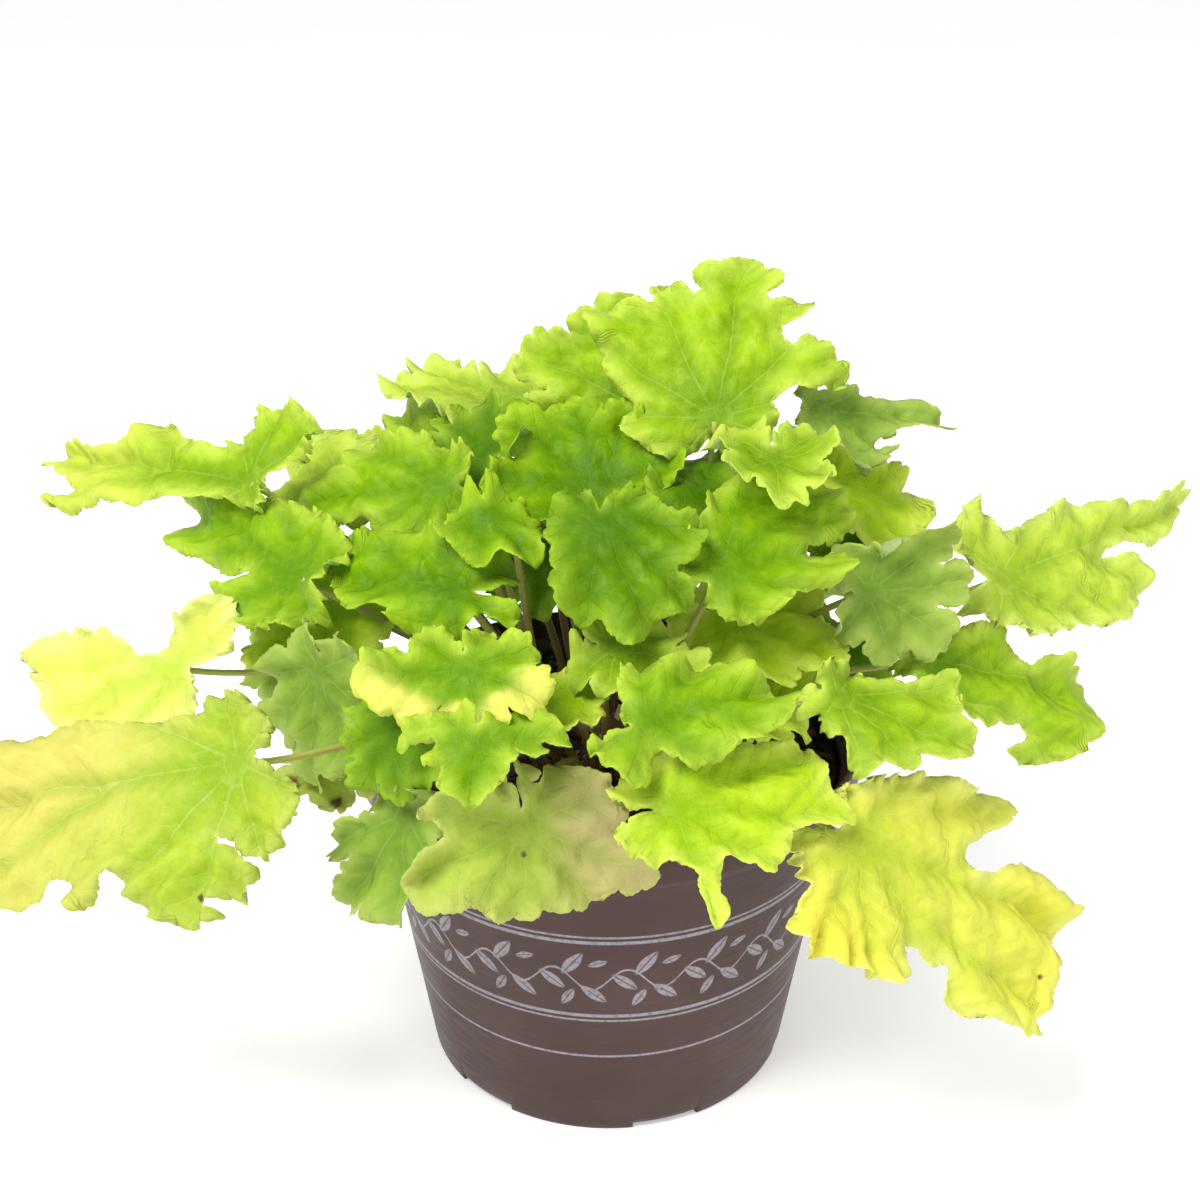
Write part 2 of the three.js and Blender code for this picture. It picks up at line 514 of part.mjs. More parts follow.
/** One leaf: its blade fused to its stalk. */
function leafSolid(leaf) {
  return bladeSolid(leaf).add(petioleSolid(leaf));
}

// ---------------------------------------------------------------- pot, mix and crown

/** Outer radius of the pot's wall at a height. */
function wallRadius(height) {
  return POT_FOOT_RADIUS + (POT_WALL_TOP_RADIUS - POT_FOOT_RADIUS) * height / POT_HEIGHT;
}

/** Height of the bark mix at a distance from the middle. */
function soilHeight(distance) {
  const share = Math.min(distance / POT_WALL_TOP_RADIUS, 1);
  return SOIL_EDGE_HEIGHT + (SOIL_MIDDLE_HEIGHT - SOIL_EDGE_HEIGHT) * (1 - share * share);
}

/** Pot: lathe-turned shell, less the drain slots at its foot. */
function potSolid() {
  const ledge = POT_HEIGHT - POT_BAND_HEIGHT;
  const profile = [
    [0, 0], [POT_FOOT_RADIUS - 1, 0], [wallRadius(1), 1], [wallRadius(ledge), ledge],
    [POT_BAND_RADIUS - 0.6, ledge + POT_BAND_LEDGE], [POT_BAND_RADIUS, POT_HEIGHT - 1.5],
    [POT_BAND_RADIUS - 0.8, POT_HEIGHT], [POT_BAND_RADIUS - 2, POT_HEIGHT],
    [POT_BAND_RADIUS - 2.8, POT_HEIGHT - 1.5], [POT_BAND_RADIUS - 3.2, ledge + POT_BAND_LEDGE + 1.8],
    [wallRadius(ledge) - POT_WALL, ledge - 0.6], [wallRadius(POT_FLOOR) - POT_WALL, POT_FLOOR],
    [0, POT_FLOOR],
  ];
  let pot = solidFromGeometry(turned(profile, POT_SIDES));
  for (let i = 0; i < DRAIN_SLOTS; i += 1) {
    const slot = new THREE.BoxGeometry(DRAIN_DEPTH, DRAIN_WIDTH, DRAIN_HEIGHT + 2);
    slot.translate(POT_FOOT_RADIUS, 0, DRAIN_HEIGHT / 2 - 1);
    slot.rotateZ((DRAIN_FIRST_ANGLE + i * 360 / DRAIN_SLOTS) * DEG);
    pot = pot.subtract(solidFromGeometry(slot));
  }
  return pot;
}

/** Bark mix: fills the pot inside its wall, domed, with a plain hole for each stalk and the crown. */
function soilSolid() {
  const floor = POT_FLOOR + SOIL_GAP;
  const inner = (height) => wallRadius(height) - POT_WALL - 2 * SOIL_GAP;
  const profile = [[0, floor], [inner(floor), floor], [inner(SOIL_EDGE_HEIGHT), SOIL_EDGE_HEIGHT]];
  for (const distance of [70, 45, 22]) profile.push([distance, soilHeight(distance)]);
  profile.push([0, SOIL_MIDDLE_HEIGHT]);
  let soil = solidFromGeometry(turned(profile, SOIL_SIDES));
  for (const leaf of LEAVES) soil = soil.subtract(petioleHole(leaf));
  const socketRadius = CROWN_RADIUS + SOIL_GAP;
  const socketFloor = SOIL_MIDDLE_HEIGHT - CROWN_SUNK - SOIL_GAP;
  const socketTop = SOIL_MIDDLE_HEIGHT + HOLE_ABOVE;
  const socket = turned([
    [0, socketFloor], [socketRadius, socketFloor], [socketRadius, socketTop], [0, socketTop],
  ], CROWN_SIDES);
  return soil.subtract(solidFromGeometry(socket));
}

/** Crown: a short woody stub. */
function crownSolid() {
  const base = SOIL_MIDDLE_HEIGHT - CROWN_SUNK;
  return solidFromGeometry(turned([
    [0, base], [CROWN_RADIUS, base], [CROWN_RADIUS, SOIL_MIDDLE_HEIGHT + 2],
    [CROWN_RADIUS - 2, SOIL_MIDDLE_HEIGHT + CROWN_RISE - 2], [0, SOIL_MIDDLE_HEIGHT + CROWN_RISE],
  ], CROWN_SIDES));
}

// ---------------------------------------------------------------- assembly

const FINISHES = {
  pot: new THREE.MeshStandardMaterial({ color: 0x5d4844, roughness: 0.55, metalness: 0 }),
  soil: new THREE.MeshStandardMaterial({ color: 0x2e2422, roughness: 0.95, metalness: 0 }),
  crown: new THREE.MeshStandardMaterial({ color: CROWN_BROWN, roughness: 0.85, metalness: 0 }),
};

const plant = new THREE.Group();

/** Adds a solid to the plant as one named mesh. */
function addPiece(name, solid, material) {
  const mesh = new THREE.Mesh(geometryFromSolid(solid), material);
  mesh.name = name;
  plant.add(mesh);
}

for (const tier of BACK_TIERS) {
  tier.bearings.forEach((bearing, i) => {
    LEAVES.push(backLeaf(tier, bearing, i));
  });
}
LEAVES.forEach((leaf, i) => {
  leaf.seed = i + 1;
  leaf.plain = leaf.name.includes('fill') || leaf.name.includes('back_');
  leaf.reach = Math.max(...leaf.lobes.map(([, length]) => length));
});

addPiece('pot', potSolid(), FINISHES.pot);
addPiece('soil', soilSolid(), FINISHES.soil);
addPiece('crown', crownSolid(), FINISHES.crown);
for (const leaf of LEAVES) {
  const skin = new THREE.MeshStandardMaterial({ color: TONES[leaf.tone], roughness: 0.5, metalness: 0 });
  addPiece(leaf.name, leafSolid(leaf), skin);
}

export default plant;
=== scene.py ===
"""A lime-leaved heuchera in its round nursery pot.

Fine leaves on hairy stalks, a woody crown, bark mix and a printed pot take the place of the frame's
solids. Lengths are given in millimetres and angles in degrees, and become metres and radians where a
mesh is made. +Z is up, and the origin is the middle of the pot's flat base.
"""

import logging
import math
from dataclasses import dataclass, field
from enum import Enum
from functools import partial
from typing import Any

import bpy
import numpy as np
from mathutils.geometry import delaunay_2d_cdt
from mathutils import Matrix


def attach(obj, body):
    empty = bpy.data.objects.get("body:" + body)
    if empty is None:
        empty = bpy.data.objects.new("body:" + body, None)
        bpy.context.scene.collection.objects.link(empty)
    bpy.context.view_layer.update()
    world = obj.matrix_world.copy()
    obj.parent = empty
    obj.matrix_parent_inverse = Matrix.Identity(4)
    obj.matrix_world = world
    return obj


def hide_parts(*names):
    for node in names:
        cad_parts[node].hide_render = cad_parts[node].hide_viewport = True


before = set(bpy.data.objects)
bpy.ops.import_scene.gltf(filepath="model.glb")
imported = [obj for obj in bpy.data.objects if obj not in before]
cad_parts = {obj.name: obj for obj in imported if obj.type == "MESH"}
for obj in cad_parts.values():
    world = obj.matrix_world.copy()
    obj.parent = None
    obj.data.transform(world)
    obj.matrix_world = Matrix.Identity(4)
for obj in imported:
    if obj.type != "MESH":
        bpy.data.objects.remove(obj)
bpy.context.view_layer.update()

log = logging.getLogger("heuchera")

MM = 0.001
DEG = math.pi / 180

# Node settings that come up often.
SOFT = {"interpolation_type": "SMOOTHSTEP"}
COLOUR = {"data_type": "RGBA"}
PLUS = {"operation": "ADD"}
MINUS = {"operation": "SUBTRACT"}
TIMES = {"operation": "MULTIPLY"}


# ---------------------------------------------------------------- colours and nodes


def linear(code: str) -> tuple[float, float, float, float]:
    """Turns an sRGB hex code into a linear colour.

    Args:
        code: six hex digits.

    Returns:
        Linear red, green and blue, and an alpha of 1.
    """
    parts = [int(code[i : i + 2], 16) / 255 for i in (0, 2, 4)]
    low = [c / 12.92 if c <= 0.04045 else ((c + 0.055) / 1.055) ** 2.4 for c in parts]
    return (low[0], low[1], low[2], 1.0)


def add(tree: bpy.types.NodeTree, kind: str, inputs: dict[Any, Any] | None = None,
        **settings: Any) -> bpy.types.Node:
    """Adds a node with its settings and links.

    Args:
        tree: the node tree.
        kind: the node's type, without its ShaderNode prefix.
        inputs: values, nodes or sockets by the input's name or number. A node stands for its first output.
        settings: properties of the node.

    Returns:
        The new node.
    """
    node = tree.nodes.new("ShaderNode" + kind)
    for name, value in settings.items():
        setattr(node, name, value)
    for key, value in (inputs or {}).items():
        if isinstance(value, bpy.types.Node):
            value = next(s for s in value.outputs if s.enabled)
        if isinstance(value, bpy.types.NodeSocket):
            tree.links.new(value, node.inputs[key])
        else:
            node.inputs[key].default_value = value
    return node


def new_material(name: str) -> bpy.types.Material:
    """Makes an empty node material."""
    material = bpy.data.materials.new(name)
    material.use_nodes = True
    material.node_tree.nodes.clear()
    return material


def draw(seed: int, index: int) -> float:
    """Repeatable draw between 0 and 1: the fraction of a large multiple of a sine of the two numbers."""
    spread = math.sin(seed * 12.9898 + index * 78.233) * 43758.5453
    return spread - math.floor(spread)


# ---------------------------------------------------------------- surfaces


@dataclass
class Surface:
    """Arrays of one or more closed surfaces, in millimetres, before they become a mesh.

    Args:
        points: places, one row each.
        faces: corner numbers, one row of four each; a triangle's last number is -1.
        skins: material number of each face.
        flat: two pattern coordinates of each point.
        fields: further values of each point by name.
    """

    points: np.ndarray
    faces: np.ndarray
    skins: np.ndarray
    flat: np.ndarray
    fields: dict[str, np.ndarray] = field(default_factory=dict)

    @staticmethod
    def joined(parts: list["Surface"]) -> "Surface":
        """Puts several surfaces in one, each field filled with zeros where a part lacks it."""
        starts = np.cumsum([0] + [len(p.points) for p in parts])
        faces = [np.where(p.faces < 0, -1, p.faces + s) for p, s in zip(parts, starts)]
        names = {n for p in parts for n in p.fields}
        fields = {
            n: np.concatenate([p.fields.get(n, np.zeros(len(p.points))) for p in parts])
            for n in sorted(names)
        }
        return Surface(
            np.concatenate([p.points for p in parts]),
            np.concatenate(faces),
            np.concatenate([p.skins for p in parts]),
            np.concatenate([p.flat for p in parts]),
            fields,
        )

    def made(self, name: str, materials: list[bpy.types.Material], nodes: list[str],
             wrap: float = 0.0) -> bpy.types.Object:
        """Makes the mesh object, which takes the place of the frame's nodes.

        Args:
            name: the piece's name.
            materials: its materials, by skin number.
            nodes: the frame's nodes that it stands for, which it hides.
            wrap: width of the pattern round a closed piece, in mm, or 0. A face across the seam has its low
                corners raised by it, so the pattern runs on.

        Returns:
            The object, at the origin.
        """
        mesh = bpy.data.meshes.new(name)
        three = self.faces[:, 3] < 0
        faces = np.concatenate([self.faces[~three], self.faces[three]])
        skins = np.concatenate([self.skins[~three], self.skins[three]])
        counts = np.where(faces[:, 3] < 0, 3, 4)
        corners = faces.ravel()
        corners = corners[corners >= 0]
        mesh.vertices.add(len(self.points))
        mesh.vertices.foreach_set("co", (self.points * MM).astype(np.float32).ravel())
        mesh.loops.add(len(corners))
        mesh.loops.foreach_set("vertex_index", corners.astype(np.int32))
        mesh.polygons.add(len(faces))
        starts = np.concatenate([[0], np.cumsum(counts)[:-1]])
        mesh.polygons.foreach_set("loop_start", starts.astype(np.int32))
        mesh.polygons.foreach_set("material_index", skins.astype(np.int32))
        mesh.update(calc_edges=True)
        mesh.shade_smooth()
        flat = self.flat[corners]
        if wrap:
            owner = np.repeat(np.arange(len(faces)), counts)
            widest = np.full(len(faces), -np.inf)
            np.maximum.at(widest, owner, flat[:, 0])
            behind = flat[:, 0] < widest[owner] - wrap / 2
            flat[behind, 0] += wrap
        sheet = mesh.uv_layers.new(name="flat")
        sheet.data.foreach_set("uv", (flat * MM).astype(np.float32).ravel())
        for label, values in self.fields.items():
            layer = mesh.attributes.new(label, "FLOAT", "POINT")
            layer.data.foreach_set("value", values.astype(np.float32))
        for material in materials:
            mesh.materials.append(material)
        piece = bpy.data.objects.new(name, mesh)
        bpy.context.scene.collection.objects.link(piece)
        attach(piece, "root")
        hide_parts(*nodes)
        triangles = int(counts.sum() - 2 * len(counts))
        log.info("%s: %d points, %d triangles", name, len(self.points), triangles)
        return piece


def grid_faces(rows: int, columns: int) -> np.ndarray:
    """Faces between the rows of a grid that closes on itself along each row.

    Args:
        rows: number of rows of points.
        columns: number of points in a row.

    Returns:
        One row of four corner numbers a face.
    """
    row, column = np.meshgrid(np.arange(rows - 1), np.arange(columns), indexing="ij")
    here = row * columns + column
    right = row * columns + (column + 1) % columns
    return np.stack([here, right, right + columns, here + columns], -1).reshape(-1, 4)


def fan_faces(tip: int, ring: np.ndarray) -> np.ndarray:
    """Triangles from one point to a closed ring, as rows with -1 last."""
    return np.stack([np.full(len(ring), tip), ring, np.roll(ring, -1), np.full(len(ring), -1)], -1)


def capped(points: np.ndarray, columns: int, low: Any, high: Any) -> tuple[np.ndarray, np.ndarray]:
    """Closes a grid of points that goes round an axis with a pole at either end.

    Args:
        points: the grid's points, row after row.
        columns: number of points in a row.
        low: the pole before the first row.
        high: the pole after the last row.

    Returns:
        All points, the poles last, and the faces.
    """
    count = len(points)
    ring = np.arange(columns)
    faces = [grid_faces(count // columns, columns), fan_faces(count, ring[::-1]),
             fan_faces(count + 1, count - columns + ring)]
    return np.concatenate([points, [low, high]]), np.concatenate(faces)


def smooth(low: float, high: float, x: np.ndarray) -> np.ndarray:
    """Rises from 0 at low to 1 at high as 3t^2 - 2t^3."""
    t = np.clip((x - low) / (high - low), 0, 1)
    return t * t * (3 - 2 * t)


def inside(points: np.ndarray, loop: np.ndarray) -> np.ndarray:
    """Whether points lie in a closed loop: a ray from each crosses the loop an odd number of times."""
    x, y = points[:, 0, None], points[:, 1, None]
    ax, ay = loop.T
    bx, by = np.roll(loop, -1, axis=0).T
    level = np.where(by == ay, 1e-9, by - ay)
    crossed = ((ay > y) != (by > y)) & (x < (bx - ax) * (y - ay) / level + ax)
    return crossed.sum(axis=1) % 2 == 1


def unit(rows: np.ndarray) -> np.ndarray:
    """Each row at length 1."""
    return rows / np.maximum(np.linalg.norm(rows, axis=-1, keepdims=True), 1e-9)


def tube(centres: np.ndarray, radii: np.ndarray, sides: int, skin: int) -> Surface:
    """A closed round tube along a line of points.

    Each ring is centre + radius * (a cos p + b sin p), where a and b are square to the line. Both are
    worked out from one fixed helper direction, so the rings don't twist.

    Args:
        centres: points of the centre line.
        radii: radius at each.
        sides: points in a ring.
        skin: material number.

    Returns:
        The tube, with "run" as the distance along it.
    """
    along = unit(np.gradient(centres, axis=0))
    span = centres[-1] - centres[0]
    helper = unit(np.cross(span, [0.31, 0.17, 0.94]) + 1e-6)
    a = unit(helper - along * (along @ helper)[:, None])
    b = np.cross(along, a)
    turn = 2 * np.pi * np.arange(sides) / sides
    ring = a[:, None] * np.cos(turn)[None, :, None] + b[:, None] * np.sin(turn)[None, :, None]
    points = (centres[:, None] + radii[:, None, None] * ring).reshape(-1, 3)
    run = np.concatenate([[0], np.cumsum(np.linalg.norm(np.diff(centres, axis=0), axis=1))])
    flat = np.stack([np.tile(turn * radii.max(), len(centres)), np.repeat(run, sides)], -1)
    points, faces = capped(points, sides, centres[0], centres[-1])
    flat = np.concatenate([flat, [[0, 0], [0, run[-1]]]])
    fields = {"run": np.concatenate([np.repeat(run, sides), [0, run[-1]]])}
    return Surface(points, faces, np.full(len(faces), skin), flat, fields)


# ---------------------------------------------------------------- leaf finishes


@dataclass(frozen=True)
class BladeFinish:
    """Living heuchera leaf: thin, softly waxy skin over wet flesh, so light passes and edges glow.

    Args:
        name: the finish's name.
        heart_and_shade: colour round the stalk, and the painted shade laid in the folds beside the veins.
        field: colour of most of the blade.
        rim: colour towards the margin, where chlorophyll is thinnest.
        vein: colour of the sunken veins.
        under: colour of the underside, which air under the skin makes paler and greyer.
        under_vein: colour of the raised veins below.
        gilt: colour of the patches that have turned.
        through: share of light that passes.
    """

    name: str
    heart_and_shade: str
    field: str
    rim: str
    vein: str
    under: str
    under_vein: str
    gilt: str = "F6EE45"
    through: float = 0.32


class Tone(Enum):
    """The plant's leaf tones, from the fresh lime crown to the oldest tan leaves.

    Colours stand in the order of BladeFinish: heart_and_shade, field, rim, vein, under, under_vein and
    gilt.
    SHADE is a darker copy of the tones: painted shade for leaves that sit deep in the plant's shade.
    """

    LIME = BladeFinish("lime", "629000", "AACE1C", "D8EA5E", "C2DC50", "A9C46C", "C4D690", "F2EE6E")
    MID = BladeFinish("mid_green", "548800", "98C210", "CAE24A", "86B010", "A0C060", "BCD088", "F2EE74")
    BRIGHT = BladeFinish("bright_lime", "84B004", "CCE62C", "ECF66A", "B4D224", "BCD070", "D2DE98",
                         "F4F268")
    PALE = BladeFinish("pale_lime", "88AC18", "CAE048", "E6F27A", "D4E478", "B8CA78", "CEDA98", "E6DE7A")
    DEEP = BladeFinish("deep_green", "467800", "84B200", "B4D62E", "6A9A04", "8EB454", "AECA78", "F6EE45")
    # A darker copy of the leaf tones: painted shade for leaves that sit in shade inside the plant.
    SHADE = BladeFinish("painted_shade_green", "427200", "74A006", "A6CA34", "669006", "86A84C", "A4C070")
    YELLOW = BladeFinish("yellow", "B8D43C", "FAF678", "FCFCA4", "E8EE70", "C4D868", "E0E890")
    GOLD = BladeFinish("gold", "B8CC30", "E8E85C", "F2F286", "DCE458", "C8CE78", "DCE09C", "F4E650")
    SAGE = BladeFinish("sage", "668E22", "9AB844", "BED066", "AEC46A", "B4C488", "CAD6A2", "CECE80")
    OLIVE = BladeFinish("olive_lime", "86AC12", "BCD03C", "CCD664", "D8E488", "B8CA78", "CEDA98", "DCD26E")
    TAN = BladeFinish("tan", "8EAC30", "B8CC4E", "CED472", "BECA70", "B8B878", "CACC94", "CABE7E")


class BladeSkin:
    """Upper and lower skin of one tone, as two materials. Pitches are in millimetres."""

    VEIN_PITCH = 7.5
    VEIN_WANDER = 5.0
    NET_PITCH = 2.2
    MOTTLE = 14.0
    GRAIN = 4.0
    SPECK_PITCH = 11.0
    SPECK = "5A4A1E"
    SCORCH = "6E5A34"
    FLESH = "F4FFB4"

    def __init__(self, finish: BladeFinish) -> None:
        """Makes both materials.

        Args:
            finish: the tone's colours.
        """
        self.finish = finish
        self.upper = self._skin(upper=True)
        self.under = self._skin(upper=False)

    def _skin(self, upper: bool) -> bpy.types.Material:
        """One side's material.

        Main veins lie where the field "rib" is near 0. Side veins are lines of equal (run - rib), one
        each VEIN_PITCH, so they leave a main vein at 45 degrees towards the tip. The finest veins are the
        edges of small cells in the flat leaf.

        Args:
            upper: whether it is the upper side.

        Returns:
            The material.
        """
        finish = self.finish
        material = new_material(f"{'leaf' if upper else 'leaf_underside'}_{finish.name}")
        node = partial(add, material.node_tree)
        run, rib, share, edge, gilt, rust = (
            node("Attribute", attribute_name=n).outputs["Fac"]
            for n in ("run", "rib", "share", "edge", "gilt", "rust")
        )
        flat = node("UVMap", uv_map="flat")
        # Slow drift that bends the side veins and mottles the colour, and a fine grain.
        drift, fine = (
            node("TexNoise", {"Vector": flat, "Scale": 1 / (pitch * MM), "Detail": detail}).outputs["Fac"]
            for pitch, detail in ((self.MOTTLE, 3.0), (self.GRAIN, 4.0))
        )
        net = node("TexVoronoi", {"Vector": flat, "Scale": 1 / (self.NET_PITCH * MM)},
                   feature="DISTANCE_TO_EDGE")
        cells = node("TexVoronoi", {"Vector": flat, "Scale": 1 / (self.SPECK_PITCH * MM)})
        lot = node("SeparateColor", {0: cells.outputs["Color"]})
        wander = node("Math", {0: drift, 1: self.VEIN_WANDER}, **TIMES)
        along = node("Math", {0: node("Math", {0: run, 1: rib}, **MINUS), 1: wander}, **PLUS)
        phase = node("Math", {0: node("Math", {0: along, 1: 1 / self.VEIN_PITCH}, **TIMES), 1: 0.5},
                     operation="PINGPONG")
        width = node("MapRange", {0: share, 1: 0.0, 2: 1.0, 3: 0.8, 4: 0.4})
        off = node("Math", {0: rib, 1: width}, operation="DIVIDE")
        torn = node("Math", {0: edge, 1: node("Math", {0: fine, 1: 6.0}, **TIMES)}, **PLUS)
        burnt = node("Math", {0: rust, 1: node("Math", {0: fine, 1: 0.5}, **TIMES)}, **PLUS)
        # Masks: each goes smoothly from one value to another between two levels of its source.
        soft = {
            name: node("MapRange", dict(enumerate(ramp)), **SOFT)
            for name, *ramp in (
                ("thin", phase, 0.0, 0.09, 1.0, 0.0), ("near", rib, 0.0, 22.0, 1.0, 0.25),
                ("pillow", phase, 0.0, 0.5, 0.0, 1.0), ("line", off, 0.2, 0.9, 1.0, 0.0),
                ("start", share, 0.02, 0.3, 0.15, 1.0), ("close", rib, 0.0, 6.5, 1.0, 0.0),
                ("inward", share, 0.55, 1.0, 1.0, 0.2), ("net", net, 0.0, 0.12, 1.0, 0.0),
                ("mottle", drift, 0.35, 0.68, 0.0, 1.0), ("rim", torn, 2.0, 12.0, 0.85, 0.0),
                ("pale_grain", fine, 0.5, 0.68, 0.0, 1.0), ("dark_grain", fine, 0.34, 0.5, 1.0, 0.0),
                ("thin_rim", edge, 0.4, 1.5, 1.0, 0.0), ("core", share, 0.0, 0.55, 0.75, 0.0),
                ("chosen", lot, 0.1, 0.12, 0.75, 0.0), ("scorch", burnt, 0.62, 0.9, 0.0, 1.0),
                ("dot", cells.outputs["Distance"], 0.04, 0.075, 1.0, 0.0),
            )
        }
        side_vein, main_vein, vein_shade_mask, speck = (
            node("Math", {0: soft[one], 1: soft[other]}, **TIMES)
            for one, other in (("thin", "near"), ("line", "start"), ("close", "inward"), ("chosen", "dot"))
        )
        # Layers of mask, share and colour over the plain skin, with rare dead spots and scorch on top.
        # vein_shade_mask is painted shade: the heart colour laid in the folds beside the veins, fading
        # towards the margin.
        skin: Any = linear(finish.field if upper else finish.under)
        if upper:
            layers = [(soft["rim"], 1.0, finish.rim), (soft["core"], 0.85, finish.heart_and_shade),
                      (soft["mottle"], 0.32, finish.heart_and_shade), (soft["pale_grain"], 0.2, finish.rim),
                      (soft["dark_grain"], 0.2, finish.heart_and_shade), (gilt, 1.0, finish.gilt),
                      (vein_shade_mask, 0.5, finish.heart_and_shade), (side_vein, 0.1, finish.vein),
                      (soft["net"], 0.05, finish.vein), (main_vein, 0.28, finish.vein),
                      (soft["thin_rim"], 0.5, finish.rim)]
        else:
            layers = [(soft["mottle"], 0.4, finish.field), (gilt, 0.9, finish.gilt),
                      (side_vein, 0.6, finish.under_vein), (soft["net"], 0.2, finish.under_vein),
                      (main_vein, 0.9, finish.under_vein)]
        for mask, amount, code in (*layers, (speck, 1.0, self.SPECK), (soft["scorch"], 1.0, self.SCORCH)):
            share_of = node("Math", {0: mask, 1: amount}, **TIMES)
            skin = node("Mix", {0: share_of, 6: skin, 7: linear(code)}, **COLOUR)
        # Relief in the skin: fine grain, veins sunk above and raised below, pillows between them.
        sign = -1.0 if upper else 1.0
        height: Any = 0.0
        for mask, amount in ((fine, 0.85), (main_vein, sign * 0.14), (side_vein, sign * 0.12),
                             (soft["net"], sign * 0.05), (soft["pillow"], 0.35)):
            height = node("Math", {0: height, 1: node("Math", {0: mask, 1: amount}, **TIMES)}, **PLUS)
        bump = node("Bump", {"Strength": 0.8, "Distance": MM, "Height": height})
        shine = node("BsdfPrincipled", {
            "Base Color": skin, "Roughness": 0.46 if upper else 0.68, "IOR": 1.42,
            "Specular IOR Level": 0.2 if upper else 0.12, "Normal": bump,
        })
        warmed = node("Mix", {0: 1.0, 6: skin, 7: linear(self.FLESH)}, blend_type="MULTIPLY", **COLOUR)
        glow = node("BsdfTranslucent", {"Color": warmed, "Normal": bump})
        node("OutputMaterial", {"Surface": node("MixShader", {0: finish.through, 1: shine, 2: glow})})
        return material


@dataclass(frozen=True)
class StalkFinish:
    """Leaf stalk: ridged, olive-brown, softly shining, greener towards the blade."""

    foot: str = "7A5A34"
    top: str = "A3A848"
    ridge_pitch: float = 0.9

    def material(self) -> bpy.types.Material:
        """Makes the material."""
        material = new_material("leaf_stalk_olive")
        node = partial(add, material.node_tree)
        climb = node("Attribute", attribute_name="climb").outputs["Fac"]
        place = node("TexCoord").outputs["Object"]
        noise = node("TexNoise", {"Vector": place, "Scale": 1 / (5 * MM), "Detail": 4.0})
        level = node("Math", {0: climb, 1: node("Math", {0: noise, 1: 0.35}, **TIMES)}, **PLUS)
        share = node("MapRange", {0: level, 1: 0.25, 2: 1.15, 3: 0.0, 4: 1.0})
        skin = node("Mix", {0: share, 6: linear(self.foot), 7: linear(self.top)}, **COLOUR)
        ridges = node("TexWave", {"Vector": node("UVMap", uv_map="flat"), "Distortion": 1.0,
                                  "Scale": 1 / (2 * math.pi * self.ridge_pitch * MM)}, bands_direction="X")
        bump = node("Bump", {"Strength": 0.35, "Distance": 0.3 * MM, "Height": ridges})
        shine = node("BsdfPrincipled", {"Base Color": skin, "Roughness": 0.5, "Normal": bump})
        node("OutputMaterial", {"Surface": shine})
        return material


@dataclass(frozen=True)
class HairFinish:
    """Plant hair: colourless, so it shows as a pale fringe against the stalk."""

    colour: str = "E6E4C2"
    shade: str = "B9A878"

    def material(self) -> bpy.types.Material:
        """Makes the material."""
        material = new_material("stalk_hair_pale")
        node = partial(add, material.node_tree)
        noise = node("TexNoise", {"Vector": node("TexCoord").outputs["Object"], "Scale": 1 / (8 * MM)})
        skin = node("Mix", {0: noise, 6: linear(self.colour), 7: linear(self.shade)}, **COLOUR)
        shine = node("BsdfPrincipled", {"Base Color": skin, "Roughness": 0.4})
        node("OutputMaterial", {"Surface": shine})
        return material


# ---------------------------------------------------------------- leaves


